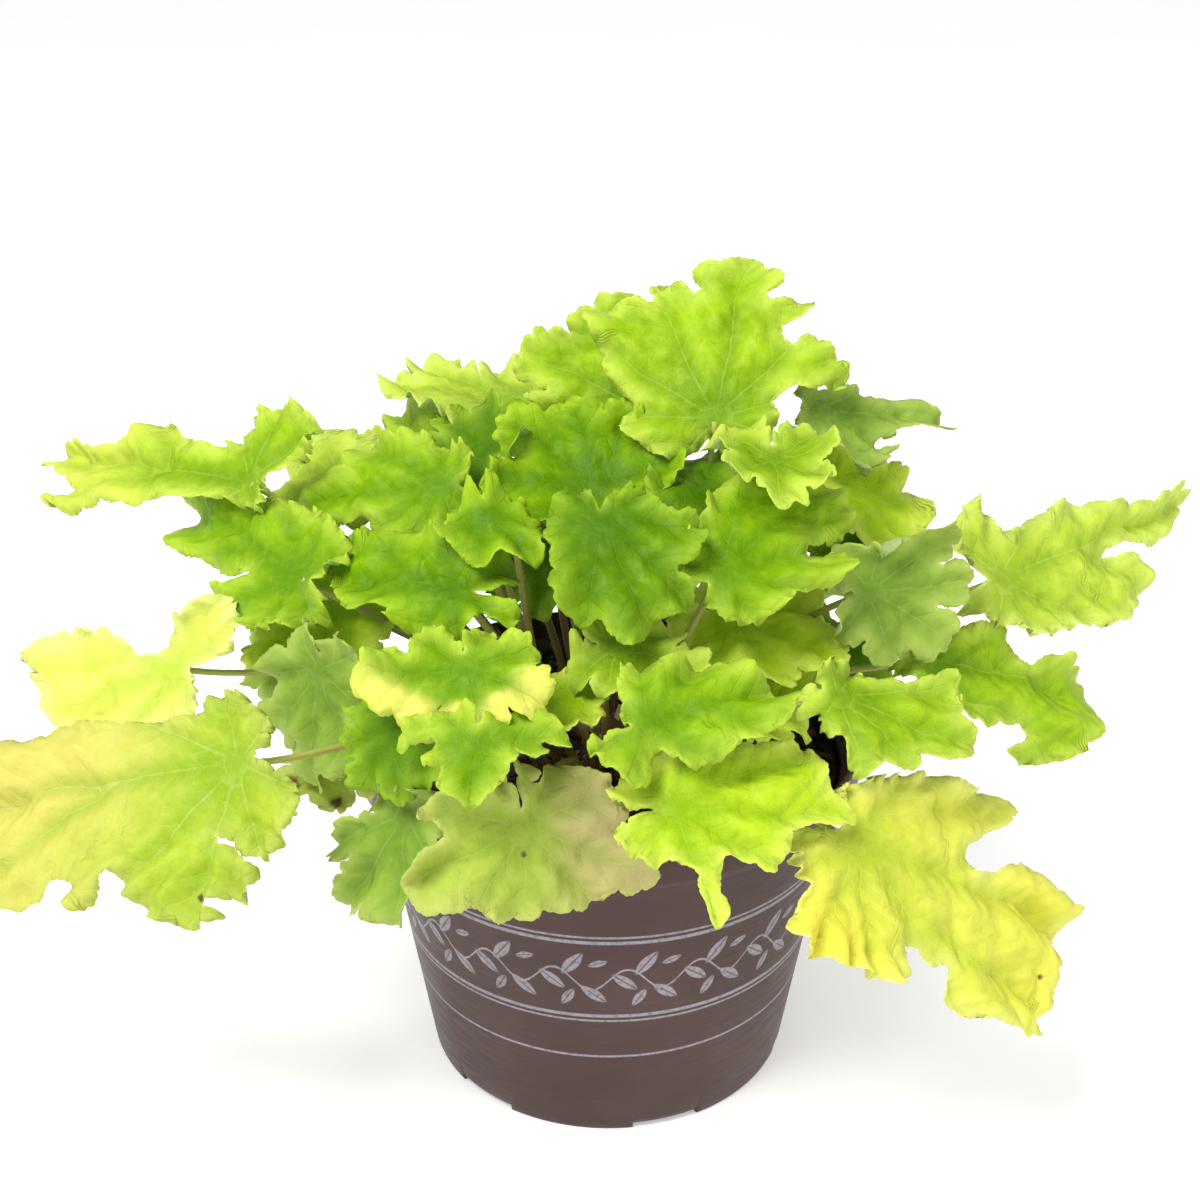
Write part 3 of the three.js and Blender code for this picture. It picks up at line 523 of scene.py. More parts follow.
@dataclass
class Leaf:
    """One palmate leaf: a lobed, toothed and ruffled blade on a hairy stalk.

    Args:
        name: short name; the frame's node is "leaf_" and this.
        tone: its finish.
        at: where the stalk meets the blade.
        aim: heading of the midrib in plan, from +X towards +Y.
        rise: slope of the midrib.
        roll: turn about the midrib; positive lifts the left half.
        lobes: angle from the midrib and length of each lobe.
        cup: degrees the margin turns up, or down if negative.
        arch: degrees the midrib bends down.
        wave: height of the ruffle at the margin.
        lean: degrees that the stalk's foot is turned round the crown from the blade's bearing.
        ring: the foot's distance from the crown's axis, where it isn't the usual one.
        curls: parts of the margin that roll over: angle, half width, share of the column where it starts,
            and degrees it turns, upwards if positive.
        gilt: parts that have turned yellow or tan: angle, half width, share where it starts, strength.
        rust: scorched spots: angle, share of the column, radius.
        margin: points on the margin as angle and radius, where the lobes' own rule doesn't hold.
        seed: number for its repeatable draws.
    """

    name: str
    tone: Tone
    at: tuple[float, float, float]
    aim: float
    rise: float
    roll: float
    lobes: tuple[tuple[float, float], ...]
    cup: float = -10.0
    arch: float = 8.0
    wave: float = 3.0
    lean: float = 0.0
    ring: float | None = None
    curls: tuple[tuple[float, float, float, float], ...] = ()
    gilt: tuple[tuple[float, float, float, float], ...] = ()
    rust: tuple[tuple[float, float, float], ...] = ()
    margin: tuple[tuple[float, float], ...] = ()
    seed: int = 0

    # Fixed measures of every leaf: millimetres, degrees, and shares of a lobe. A margin through points of
    # its own counts as a lobe of CURVE_LENGTH.
    THICKNESS = 0.5
    CURVE_LENGTH = 55.0
    NOTCH_SHARE = 0.8
    NOTCH_LIMIT = 0.9
    BASE_NOTCH = 6.0
    MAIN_VEIN_GAP = 26.0
    BRANCH_SHARE = 0.42
    VEIN_END = 0.94
    VEIN_STEP = 1.6
    VEIN_DEPTH = 1.7
    TROUGH_WIDTH = 4.5
    SIZE_BLUR = 15.0
    FULLNESS = 1.05
    FILL_FULLNESS = 1.25
    SWELL_PITCH = 8.5
    SWELL_DEPTH = 2.6
    TOOTH_PITCH = 2.7
    TOOTH_DEPTH = 0.5
    ROUNDING = 0.7
    SWAY = 4.0
    EDGE_PITCH = 0.8
    PLAIN_EDGE_PITCH = 1.2
    PITCH = 2.4
    PLAIN_PITCH = 3.2
    FOOT_RADIUS = 1.7
    NECK_RADIUS = 1.15
    SUNK = 7.0
    RING_INNER = 11.0
    RING_OUTER = 40.0
    HAIRS = 150
    HAIR_LENGTH = 1.7
    HAIR_RADIUS = 0.07
    # Widest phase of a seeded wave, in radians.
    PHASE_SPAN = 6.28

    @property
    def reach(self) -> float:
        """Length of the longest lobe."""
        return max(length for _, length in self.lobes)

    @property
    def mains(self) -> list[bool]:
        """Which lobes have a vein from the stalk: the longest, and each next one far enough away."""
        chosen: list[int] = []
        for i in sorted(range(len(self.lobes)), key=lambda k: -self.lobes[k][1]):
            if all(abs(self.lobes[i][0] - self.lobes[k][0]) >= self.MAIN_VEIN_GAP for k in chosen):
                chosen.append(i)
        return [i in chosen for i in range(len(self.lobes))]

    @property
    def plain(self) -> bool:
        """Whether it is a leaf of the inner or far side, with fewer points."""
        return "fill" in self.name or "back_" in self.name

    def draws(self, first: int, count: int) -> np.ndarray:
        """Several repeatable draws between 0 and 1."""
        return np.array([draw(self.seed, first + k) for k in range(count)])

    def phases(self, first: int, count: int) -> np.ndarray:
        """Several repeatable phases."""
        return self.PHASE_SPAN * self.draws(first, count)

    def bay(self, one: tuple[float, float], other: tuple[float, float]) -> tuple[float, float]:
        """Angle and radius of the bay between two lobes: a share of their mean, or near the shorter one."""
        long, short = max(one[1], other[1]), min(one[1], other[1])
        radius = min(self.NOTCH_SHARE * math.sqrt(long * short), self.NOTCH_LIMIT * short)
        return (one[0] + other[0]) / 2, radius

    def courses(self) -> list[tuple[np.ndarray, float]]:
        """Smooth lines that make up the flat margin.

        In a lobe of length L between bays of radius n, the radius is n + (L - n)(1 - s^2.6)^0.75, with s
        the side share from -1 to 1. A leaf with points of its own has one line: a cubic curve through them,
        whose direction at each point is that from the one before to the one after.

        Returns:
            Each line's points and its lobe's length.
        """
        start, end = (-178.0, self.BASE_NOTCH), (178.0, self.BASE_NOTCH)
        if self.margin:
            angle, radius = np.array([start, *self.margin, end], float).T
            knots = radius[:, None] * np.stack([np.cos(angle * DEG), np.sin(angle * DEG)], -1)
            step = np.diff(knots, axis=0)
            lead = np.concatenate([unit(step[:1]), unit(knots[2:] - knots[:-2]), unit(step[-1:])])[:, None]
            pull = np.linalg.norm(step, axis=1)[:, None, None]
            t = np.linspace(0, 1, 40, endpoint=False)[None, :, None]
            line = ((1 + 2 * t) * (1 - t) ** 2 * knots[:-1, None] + t * (1 - t) ** 2 * pull * lead[:-1]
                    + t**2 * (3 - 2 * t) * knots[1:, None] - t**2 * (1 - t) * pull * lead[1:])
            return [(line.reshape(-1, 2), self.CURVE_LENGTH)]
        play = self.draws(60, len(self.lobes))
        bays = [self.bay(one, other) for one, other in zip(self.lobes, self.lobes[1:])]
        bays = [start, *((a, r * (0.86 + 0.26 * play[i])) for i, (a, r) in enumerate(bays)), end]
        full = self.FILL_FULLNESS if "fill" in self.name else self.FULLNESS
        lines = []
        for i, (angle, length) in enumerate(self.lobes):
            (before, first), (after, last) = bays[i], bays[i + 1]
            side = np.linspace(-1, 1, 1200)
            radius = np.where(side < 0, first, last)
            radius = radius + (length - radius) * (1 - np.abs(side) ** 2.6) ** 0.75
            heading = (angle + side * np.where(side < 0, angle - before, after - angle)) * DEG
            around = np.stack([np.cos(heading), np.sin(heading)], -1)
            lines.append((full * radius[:, None] * around, length))
        return lines

    def outline(self) -> np.ndarray:
        """The flat blade's margin as a closed loop of points.

        The points are evenly spaced along the margin's smooth lines. Rounded swellings and small teeth
        stand square to them: each is |sin|, to a power that rounds it, of the walk along the line over its
        pitch, so the notches between them are sharp. Seeded draws make bays and swellings unequal.

        Returns:
            Places along the midrib and to its left, counterclockwise.
        """
        pitch = self.PLAIN_EDGE_PITCH if self.plain else self.EDGE_PITCH
        loops = []
        for i, (line, length) in enumerate(self.courses()):
            walk = np.concatenate([[0], np.cumsum(np.linalg.norm(np.diff(line, axis=0), axis=1))])
            count = max(8, round(walk[-1] / pitch))
            share = np.arange(count) / count
            line = np.stack([np.interp(share * walk[-1], walk, line[:, k]) for k in (0, 1)], -1)
            lot = self.draws(40 + 5 * i, 4)
            swells = 2 * round((walk[-1] / (self.SWELL_PITCH * (0.55 + length / 85)) - 1) / 2) + 1
            beat = swells * share + 0.3 * np.sin(2 * np.pi * (share + lot[0])) * np.sin(np.pi * share)
            swell = np.abs(np.sin(np.pi * beat)) ** self.ROUNDING
            teeth = max(3, round(walk[-1] / self.TOOTH_PITCH))
            tooth = np.abs(np.sin(np.pi * (teeth * share + lot[1]))) ** self.ROUNDING
            depth = self.SWELL_DEPTH * (0.55 + 0.8 * np.sin(2 * np.pi * (share + lot[2])) ** 2)
            depth = depth * (0.6 if self.margin else min(1.15, 0.45 + length / 80))
            fade = smooth(0, 0.1, np.sin(np.pi * share))
            push = (depth * (swell - 0.6) + self.TOOTH_DEPTH * (tooth - 0.7)) * fade
            ahead = unit(np.gradient(line, axis=0))
            loops.append(line + push[:, None] * np.stack([ahead[:, 1], -ahead[:, 0]], -1))
        return np.concatenate(loops)

    def veins(self) -> np.ndarray:
        """Ends of the flat blade's main veins, which start at the stalk or part way up a larger vein."""
        ends = {}
        for (angle, length), main in zip(self.lobes, self.mains):
            tip = self.VEIN_END * length * np.array([math.cos(angle * DEG), math.sin(angle * DEG)])
            ends[angle] = (tip, main)
        pairs = []
        for angle, (tip, main) in ends.items():
            root = np.zeros(2)
            if not main:
                nearest = min((a for a, (_, m) in ends.items() if m), key=lambda a: abs(a - angle))
                root = self.BRANCH_SHARE * ends[nearest][0]
            pairs.append([root, tip])
        return np.array(pairs)

    def size(self, loop: np.ndarray, turn: np.ndarray) -> np.ndarray:
        """General size of the blade at some headings: the margin's radius, blurred by a bell."""
        steps = np.arange(-180, 180, 2.0)
        heading = np.degrees(np.arctan2(loop[:, 1], loop[:, 0]))
        order = np.argsort(heading)
        radius = np.interp(steps, heading[order], np.linalg.norm(loop, axis=1)[order], period=360)
        gap = (steps[:, None] - steps[None, :] + 180) % 360 - 180
        bell = np.exp(-((gap / self.SIZE_BLUR) ** 2))
        return np.interp(np.degrees(turn), steps, (bell @ radius) / bell.sum(axis=1), period=360)

    def relief(self, flat: np.ndarray, turn: np.ndarray, s: np.ndarray, rib: np.ndarray) -> np.ndarray:
        """Height of the flat blade's surface.

        Each vein lies in a trough. The outer blade waves by slow sines of the heading, and ruffles by
        quicker ones whose phase wanders; all grow with the distance out, as a power. Crossed sines make the
        skin between the veins swell.

        Args:
            flat: places in the flat blade.
            turn: their headings, in radians.
            s: their distance out, as a share of the blade's general size there.
            rib: their distance from the nearest vein.

        Returns:
            Heights.
        """
        lot = self.phases(1, 16)
        s = np.minimum(s, 1.3)
        trough = self.VEIN_DEPTH * np.minimum(s, 1) * (1 - 2 * np.exp(-((rib / self.TROUGH_WIDTH) ** 2)))
        slow = (np.sin(2 * turn + lot[0]) + 0.8 * np.sin(3 * turn + lot[1])
                + 0.45 * np.sin(5 * turn + lot[2]))
        drift = 1.8 * np.sin(2 * turn + lot[7]) + 1.1 * np.sin(5 * turn + lot[8])
        quick = max(5, round(2 * math.pi * 0.75 * self.reach / 24))
        ruffle = np.sin(quick * turn + drift + lot[3])
        frill = np.sin(2 * quick * turn - 1.5 * drift + lot[9])
        outer = 0.4 * s**6 / (1 + 0.35 * s**6)
        wave = 1.45 * self.wave * (0.6 * s**2 * slow + 0.75 * s**3 * ruffle + outer * frill)
        x, y = flat.T
        swell = np.sin(x / 4.6 + lot[5] + 0.6 * np.sin(y / 6)) * np.sin(y / 5.1 + lot[6])
        fine = np.sin(x / 2.1 + lot[10] + np.sin(y / 3)) * np.sin(y / 2.4 + lot[11])
        return trough + wave + np.minimum(s * 2, 1) * (1.7 * swell + 0.9 * fine)

    def swayed(self, turn: np.ndarray, radius: np.ndarray) -> np.ndarray:
        """Headings, in radians, once lobes and veins lean to either side with the square of the reach."""
        lot = self.phases(20, 4)
        lean = np.sin(3 * turn + lot[0]) + 0.7 * np.sin(5 * turn + lot[1])
        share = radius / self.reach
        wriggle = 1.3 * np.sin(radius / 6.5 + lot[2] + 2 * np.sin(2 * turn + lot[3]))
        edge = 1 - smooth(150, 176, np.abs(np.degrees(turn)))
        sway = 0 if self.margin else self.SWAY
        return turn + edge * DEG * (sway * lean * share**2 + wriggle * np.minimum(share * 2, 1))

    def bent(self, turn: np.ndarray, radius: np.ndarray, height: np.ndarray,
             size: np.ndarray) -> np.ndarray:
        """Bends the flat blade.

        A curl turns the outer part of the blade round a circle; the cup bends each radius as a circle that
        has turned by `cup` at the blade's reach, and the arch bends the midrib down in the same way.

        Args:
            turn: headings, in radians.
            radius: distances from the stalk.
            height: heights of the surface.
            size: general size of the blade at those headings.

        Returns:
            Places: along the midrib, to its left, and up.
        """
        for middle, half, start, swing_to in self.curls:
            away = np.abs((np.degrees(turn) - middle + 180) % 360 - 180)
            weight = smooth(0, 1, 1 - away / half)
            begin = start * size
            rate = np.maximum(weight, 1e-4) * swing_to * DEG / (size - begin)
            swing = rate * np.maximum(radius - begin, 0)
            out = np.minimum(radius, begin) + np.sin(swing) / rate - height * np.sin(swing)
            height = (1 - np.cos(swing)) / rate + height * np.cos(swing)
            radius = out
        if abs(self.cup) > 0.01:
            rate = self.cup * DEG / self.reach
            swing = rate * radius
            radius = np.sin(swing) / rate - height * np.sin(swing)
            height = (1 - np.cos(swing)) / rate + height * np.cos(swing)
        along = radius * np.cos(turn)
        left = radius * np.sin(turn)
        if abs(self.arch) > 0.01:
            rate = self.arch * DEG / self.reach
            swing = rate * along
            along = np.sin(swing) / rate + height * np.sin(swing)
            height = (np.cos(swing) - 1) / rate + height * np.cos(swing)
        return np.stack([along, left, height], -1)

    def turned(self) -> np.ndarray:
        """The blade's axes as columns: midrib, left, and face."""
        a, r, o = self.aim * DEG, (self.rise + self.arch / 2) * DEG, self.roll * DEG
        about_z = np.array([[math.cos(a), -math.sin(a), 0], [math.sin(a), math.cos(a), 0], [0, 0, 1]])
        about_y = np.array([[math.cos(r), 0, -math.sin(r)], [0, 1, 0], [math.sin(r), 0, math.cos(r)]])
        about_x = np.array([[1, 0, 0], [0, math.cos(o), -math.sin(o)], [0, math.sin(o), math.cos(o)]])
        return about_z @ about_y @ about_x

    def sheet(self) -> tuple[np.ndarray, np.ndarray]:
        """The flat blade as triangles between the margin, points along the veins and a triangular lattice.

        Returns:
            Points, and triangles counterclockwise. The margin's points come first.
        """
        loop = self.outline()
        pitch = self.PLAIN_PITCH if self.plain else self.PITCH
        low, high = loop.min(axis=0), loop.max(axis=0)
        x, y = np.meshgrid(np.arange(low[0], high[0], pitch), np.arange(low[1], high[1], 0.866 * pitch))
        x = x + pitch / 2 * (np.arange(len(x)) % 2)[:, None]
        lattice = np.stack([x.ravel(), y.ravel()], -1)
        steps = np.arange(1, 80) * self.VEIN_STEP
        roots, tips = self.veins().transpose(1, 0, 2)
        reach = np.linalg.norm(tips - roots, axis=1)
        lines = roots[:, None] + steps[:, None] * ((tips - roots) / reach[:, None])[:, None]
        lines = np.concatenate([[[0.0, 0.0]], lines[steps[None, :] < reach[:, None]]])
        for fixed in (loop, lines):
            gap = np.linalg.norm(lattice[:, None] - fixed[None], axis=-1).min(axis=1)
            lattice = lattice[gap > 0.55 * pitch]
        others = np.concatenate([lines, lattice])
        gap = np.linalg.norm(others[:, None] - loop[None], axis=-1).min(axis=1)
        points = np.concatenate([loop, others[(gap > 0.6) & inside(others, loop)]])
        made = delaunay_2d_cdt(points.tolist(), [], [list(range(len(loop)))], 1, 1e-6, False)
        points, triangles = np.array(made[0]), np.array(made[2])
        middle = points[triangles].mean(axis=1)
        triangles = triangles[inside(middle, loop)]
        used = np.unique(triangles)
        number = np.full(len(points), -1)
        number[used] = np.arange(len(used))
        points, triangles = points[used], number[triangles]
        a, b, c = (points[triangles[:, k]] for k in range(3))
        turned = (b - a)[:, 0] * (c - a)[:, 1] - (b - a)[:, 1] * (c - a)[:, 0] < 0
        triangles[turned] = triangles[turned][:, [0, 2, 1]]
        return points, triangles

    def blade(self) -> Surface:
        """Upper and lower skins, joined round the margin.

        Returns:
            The closed blade.
        """
        flat, triangles = self.sheet()
        loop = self.outline()
        turn, radius = np.arctan2(flat[:, 1], flat[:, 0]), np.linalg.norm(flat, axis=1)
        size = self.size(loop, turn)
        share = radius / size
        roots, tips = self.veins().transpose(1, 0, 2)
        reach = np.linalg.norm(tips - roots, axis=1)
        heading = (tips - roots) / reach[:, None]
        past = np.maximum(np.einsum("pvk,vk->pv", flat[:, None] - roots, heading), 0)
        aside = np.linalg.norm(flat[:, None] - roots - past[..., None] * heading, axis=-1)
        nearest = (aside + 3 * np.maximum(past - reach, 0)).argmin(axis=1)
        rows = np.arange(len(flat))
        rib = aside[rows, nearest]
        run = past[rows, nearest] + np.linalg.norm(roots, axis=1)[nearest]
        edge = np.linalg.norm(flat[:, None] - loop[None], axis=-1).min(axis=1)
        height = self.relief(flat, turn, share, rib)
        places = self.bent(self.swayed(turn, radius), radius, height, size)
        places = places @ self.turned().T + np.array(self.at)
        a, b, c = (places[triangles[:, k]] for k in range(3))
        facing = np.cross(b - a, c - a)
        normal = np.zeros_like(places)
        for k in range(3):
            np.add.at(normal, triangles[:, k], facing)
        half = self.THICKNESS / 2 * unit(normal) * (0.55 + 0.45 * smooth(0, 2.5, edge))[:, None]
        # The rim joins the edges that belong to one triangle only.
        sides = np.concatenate([triangles[:, [0, 1]], triangles[:, [1, 2]], triangles[:, [2, 0]]])
        count = len(flat)
        keys, back = sides[:, 0] * count + sides[:, 1], sides[:, 1] * count + sides[:, 0]
        one, other = sides[~np.isin(keys, back)].T
        rim = np.stack([one + count, other + count, other, one], -1)
        none = np.full((len(triangles), 1), -1)
        above = np.concatenate([triangles, none], axis=1)
        below = np.concatenate([triangles[:, [0, 2, 1]] + count, none], axis=1)
        skins = np.concatenate([np.zeros(len(above)), np.ones(len(below)), np.zeros(len(rim))])
        fields = {
            "run": run, "rib": rib, "share": share, "edge": edge,
            "gilt": self.patches(turn, share), "rust": self.scorches(flat, size, turn),
        }
        return Surface(
            np.concatenate([places + half, places - half]),
            np.concatenate([above, below, rim]),
            skins,
            np.tile(flat + 400 * self.draws(30, 2), (2, 1)),
            {name: np.tile(values, 2) for name, values in fields.items()},
        )

    def patches(self, turn: np.ndarray, share: np.ndarray) -> np.ndarray:
        """How far each point has turned: a bump of the heading times a rise along the reach."""
        total = np.zeros(len(turn))
        for middle, half, start, strength in self.gilt:
            away = np.abs((np.degrees(turn) - middle + 180) % 360 - 180)
            total += strength * smooth(0, 1, 1 - away / half) * smooth(start, min(start + 0.55, 1.2), share)
        return np.clip(total, 0, 1)

    def scorches(self, flat: np.ndarray, size: np.ndarray, turn: np.ndarray) -> np.ndarray:
        """How scorched each point is: falls off with the distance from each spot's middle."""
        total = np.zeros(len(flat))
        for angle, along, spread in self.rust:
            out = along * size[np.argmin(np.abs(turn - angle * DEG))]
            spot = [out * math.cos(angle * DEG), out * math.sin(angle * DEG)]
            gap = np.linalg.norm(flat - spot, axis=1)
            total = np.maximum(total, 0.75 * smooth(0, 1, 1 - gap / (2 * spread)))
        return total

    def foot(self) -> np.ndarray:
        """Where the stalk leaves the mix: steep ones stand nearer the middle."""
        x, y, z = self.at
        climb = math.atan2(z - BarkMix.MIDDLE_HEIGHT, math.hypot(x, y)) / (math.pi / 2)
        bearing = math.atan2(y, x) + self.lean * DEG
        usual = self.RING_OUTER - (self.RING_OUTER - self.RING_INNER) * climb
        ring = usual if self.ring is None else self.ring
        return np.array([ring * math.cos(bearing), ring * math.sin(bearing), BarkMix.height(ring)])

    def stalk_line(self, steps: int) -> np.ndarray:
        """Centre line of the stalk: a cubic Bezier curve that rises, leans over and enters the blade.

        Args:
            steps: number of points.

        Returns:
            Points from the foot to the blade.
        """
        foot, top = self.foot(), np.array(self.at, float)
        axes = self.turned()
        span = np.linalg.norm(top - foot)
        outward = np.array([foot[0], foot[1], 0]) / math.hypot(foot[0], foot[1])
        rise = unit(0.35 * outward + [0, 0, 1])
        arrive = unit(0.35 * axes[:, 0] + 0.75 * axes[:, 2] + (top - foot) / span)
        knots = (foot + 2 * rise, foot + 0.42 * span * rise, top - 0.28 * span * arrive, top - arrive)
        t = np.linspace(0, 1, steps)[:, None]
        return ((1 - t) ** 3 * knots[0] + 3 * (1 - t) ** 2 * t * knots[1]
                + 3 * (1 - t) * t**2 * knots[2] + t**3 * knots[3])

    def stalk(self) -> Surface:
        """The stalk: sunk in the mix, thinning upwards, with a small swelling under the blade."""
        line = self.stalk_line(22)
        lead = unit(line[1] - line[0])
        line = np.concatenate([[line[0] - self.SUNK * lead], line])
        t = np.linspace(0, 1, len(line))
        radii = self.FOOT_RADIUS + (self.NECK_RADIUS - self.FOOT_RADIUS) * t + 0.35 * smooth(0.93, 1, t)
        made = tube(line, radii, 8, 2)
        run = made.fields.pop("run")
        made.fields["climb"] = run / run.max()
        return made

    def hairs(self) -> Surface:
        """Fine hairs on the stalk: slim three-sided spikes, set on its line at seeded places."""
        lot = np.random.default_rng(100 + self.seed)
        line = self.stalk_line(60)
        n = self.HAIRS
        place = lot.random(n) ** 0.8
        spot = place * (len(line) - 2)
        low = spot.astype(int)
        part = (spot - low)[:, None]
        centre = line[low] * (1 - part) + line[low + 1] * part
        along = unit(line[low + 1] - line[low])
        side = unit(np.cross(along, lot.normal(size=(n, 3))))
        radius = self.FOOT_RADIUS + (self.NECK_RADIUS - self.FOOT_RADIUS) * place
        root = centre + side * (radius - 0.15)[:, None]
        lean = unit(side + 0.35 * along * lot.uniform(-1, 1, (n, 1)) + 0.2 * lot.normal(size=(n, 3)))
        tip = root + lean * (self.HAIR_LENGTH * lot.uniform(0.55, 1.1, n))[:, None]
        other = np.cross(side, along)
        ring = [root + self.HAIR_RADIUS * (along * math.cos(k) + other * math.sin(k))
                for k in (0, 2.1, 4.2)]
        points = np.stack([*ring, tip], 1).reshape(-1, 3)
        start = 4 * np.arange(n)[:, None]
        faces = np.concatenate([start + np.array(f) for f in ((0, 2, 1), (0, 1, 3), (1, 2, 3), (2, 0, 3))])
        faces = np.concatenate([faces, np.full((len(faces), 1), -1)], axis=1)
        return Surface(points, faces, np.full(len(faces), 3), np.zeros((len(points), 2)))

    def build(self, skins: dict[Tone, BladeSkin], stalk: bpy.types.Material,
              hair: bpy.types.Material) -> bpy.types.Object:
        """Makes the leaf in place of its node.

        Args:
            skins: both skins of each tone.
            stalk: the stalk's material.
            hair: the hairs' material.

        Returns:
            The piece.
        """
        skin = skins[self.tone]
        whole = Surface.joined([self.blade(), self.stalk(), self.hairs()])
        materials = [skin.upper, skin.under, stalk, hair]
        return whole.made(f"{self.name}_leaf", materials, [f"leaf_{self.name}"])
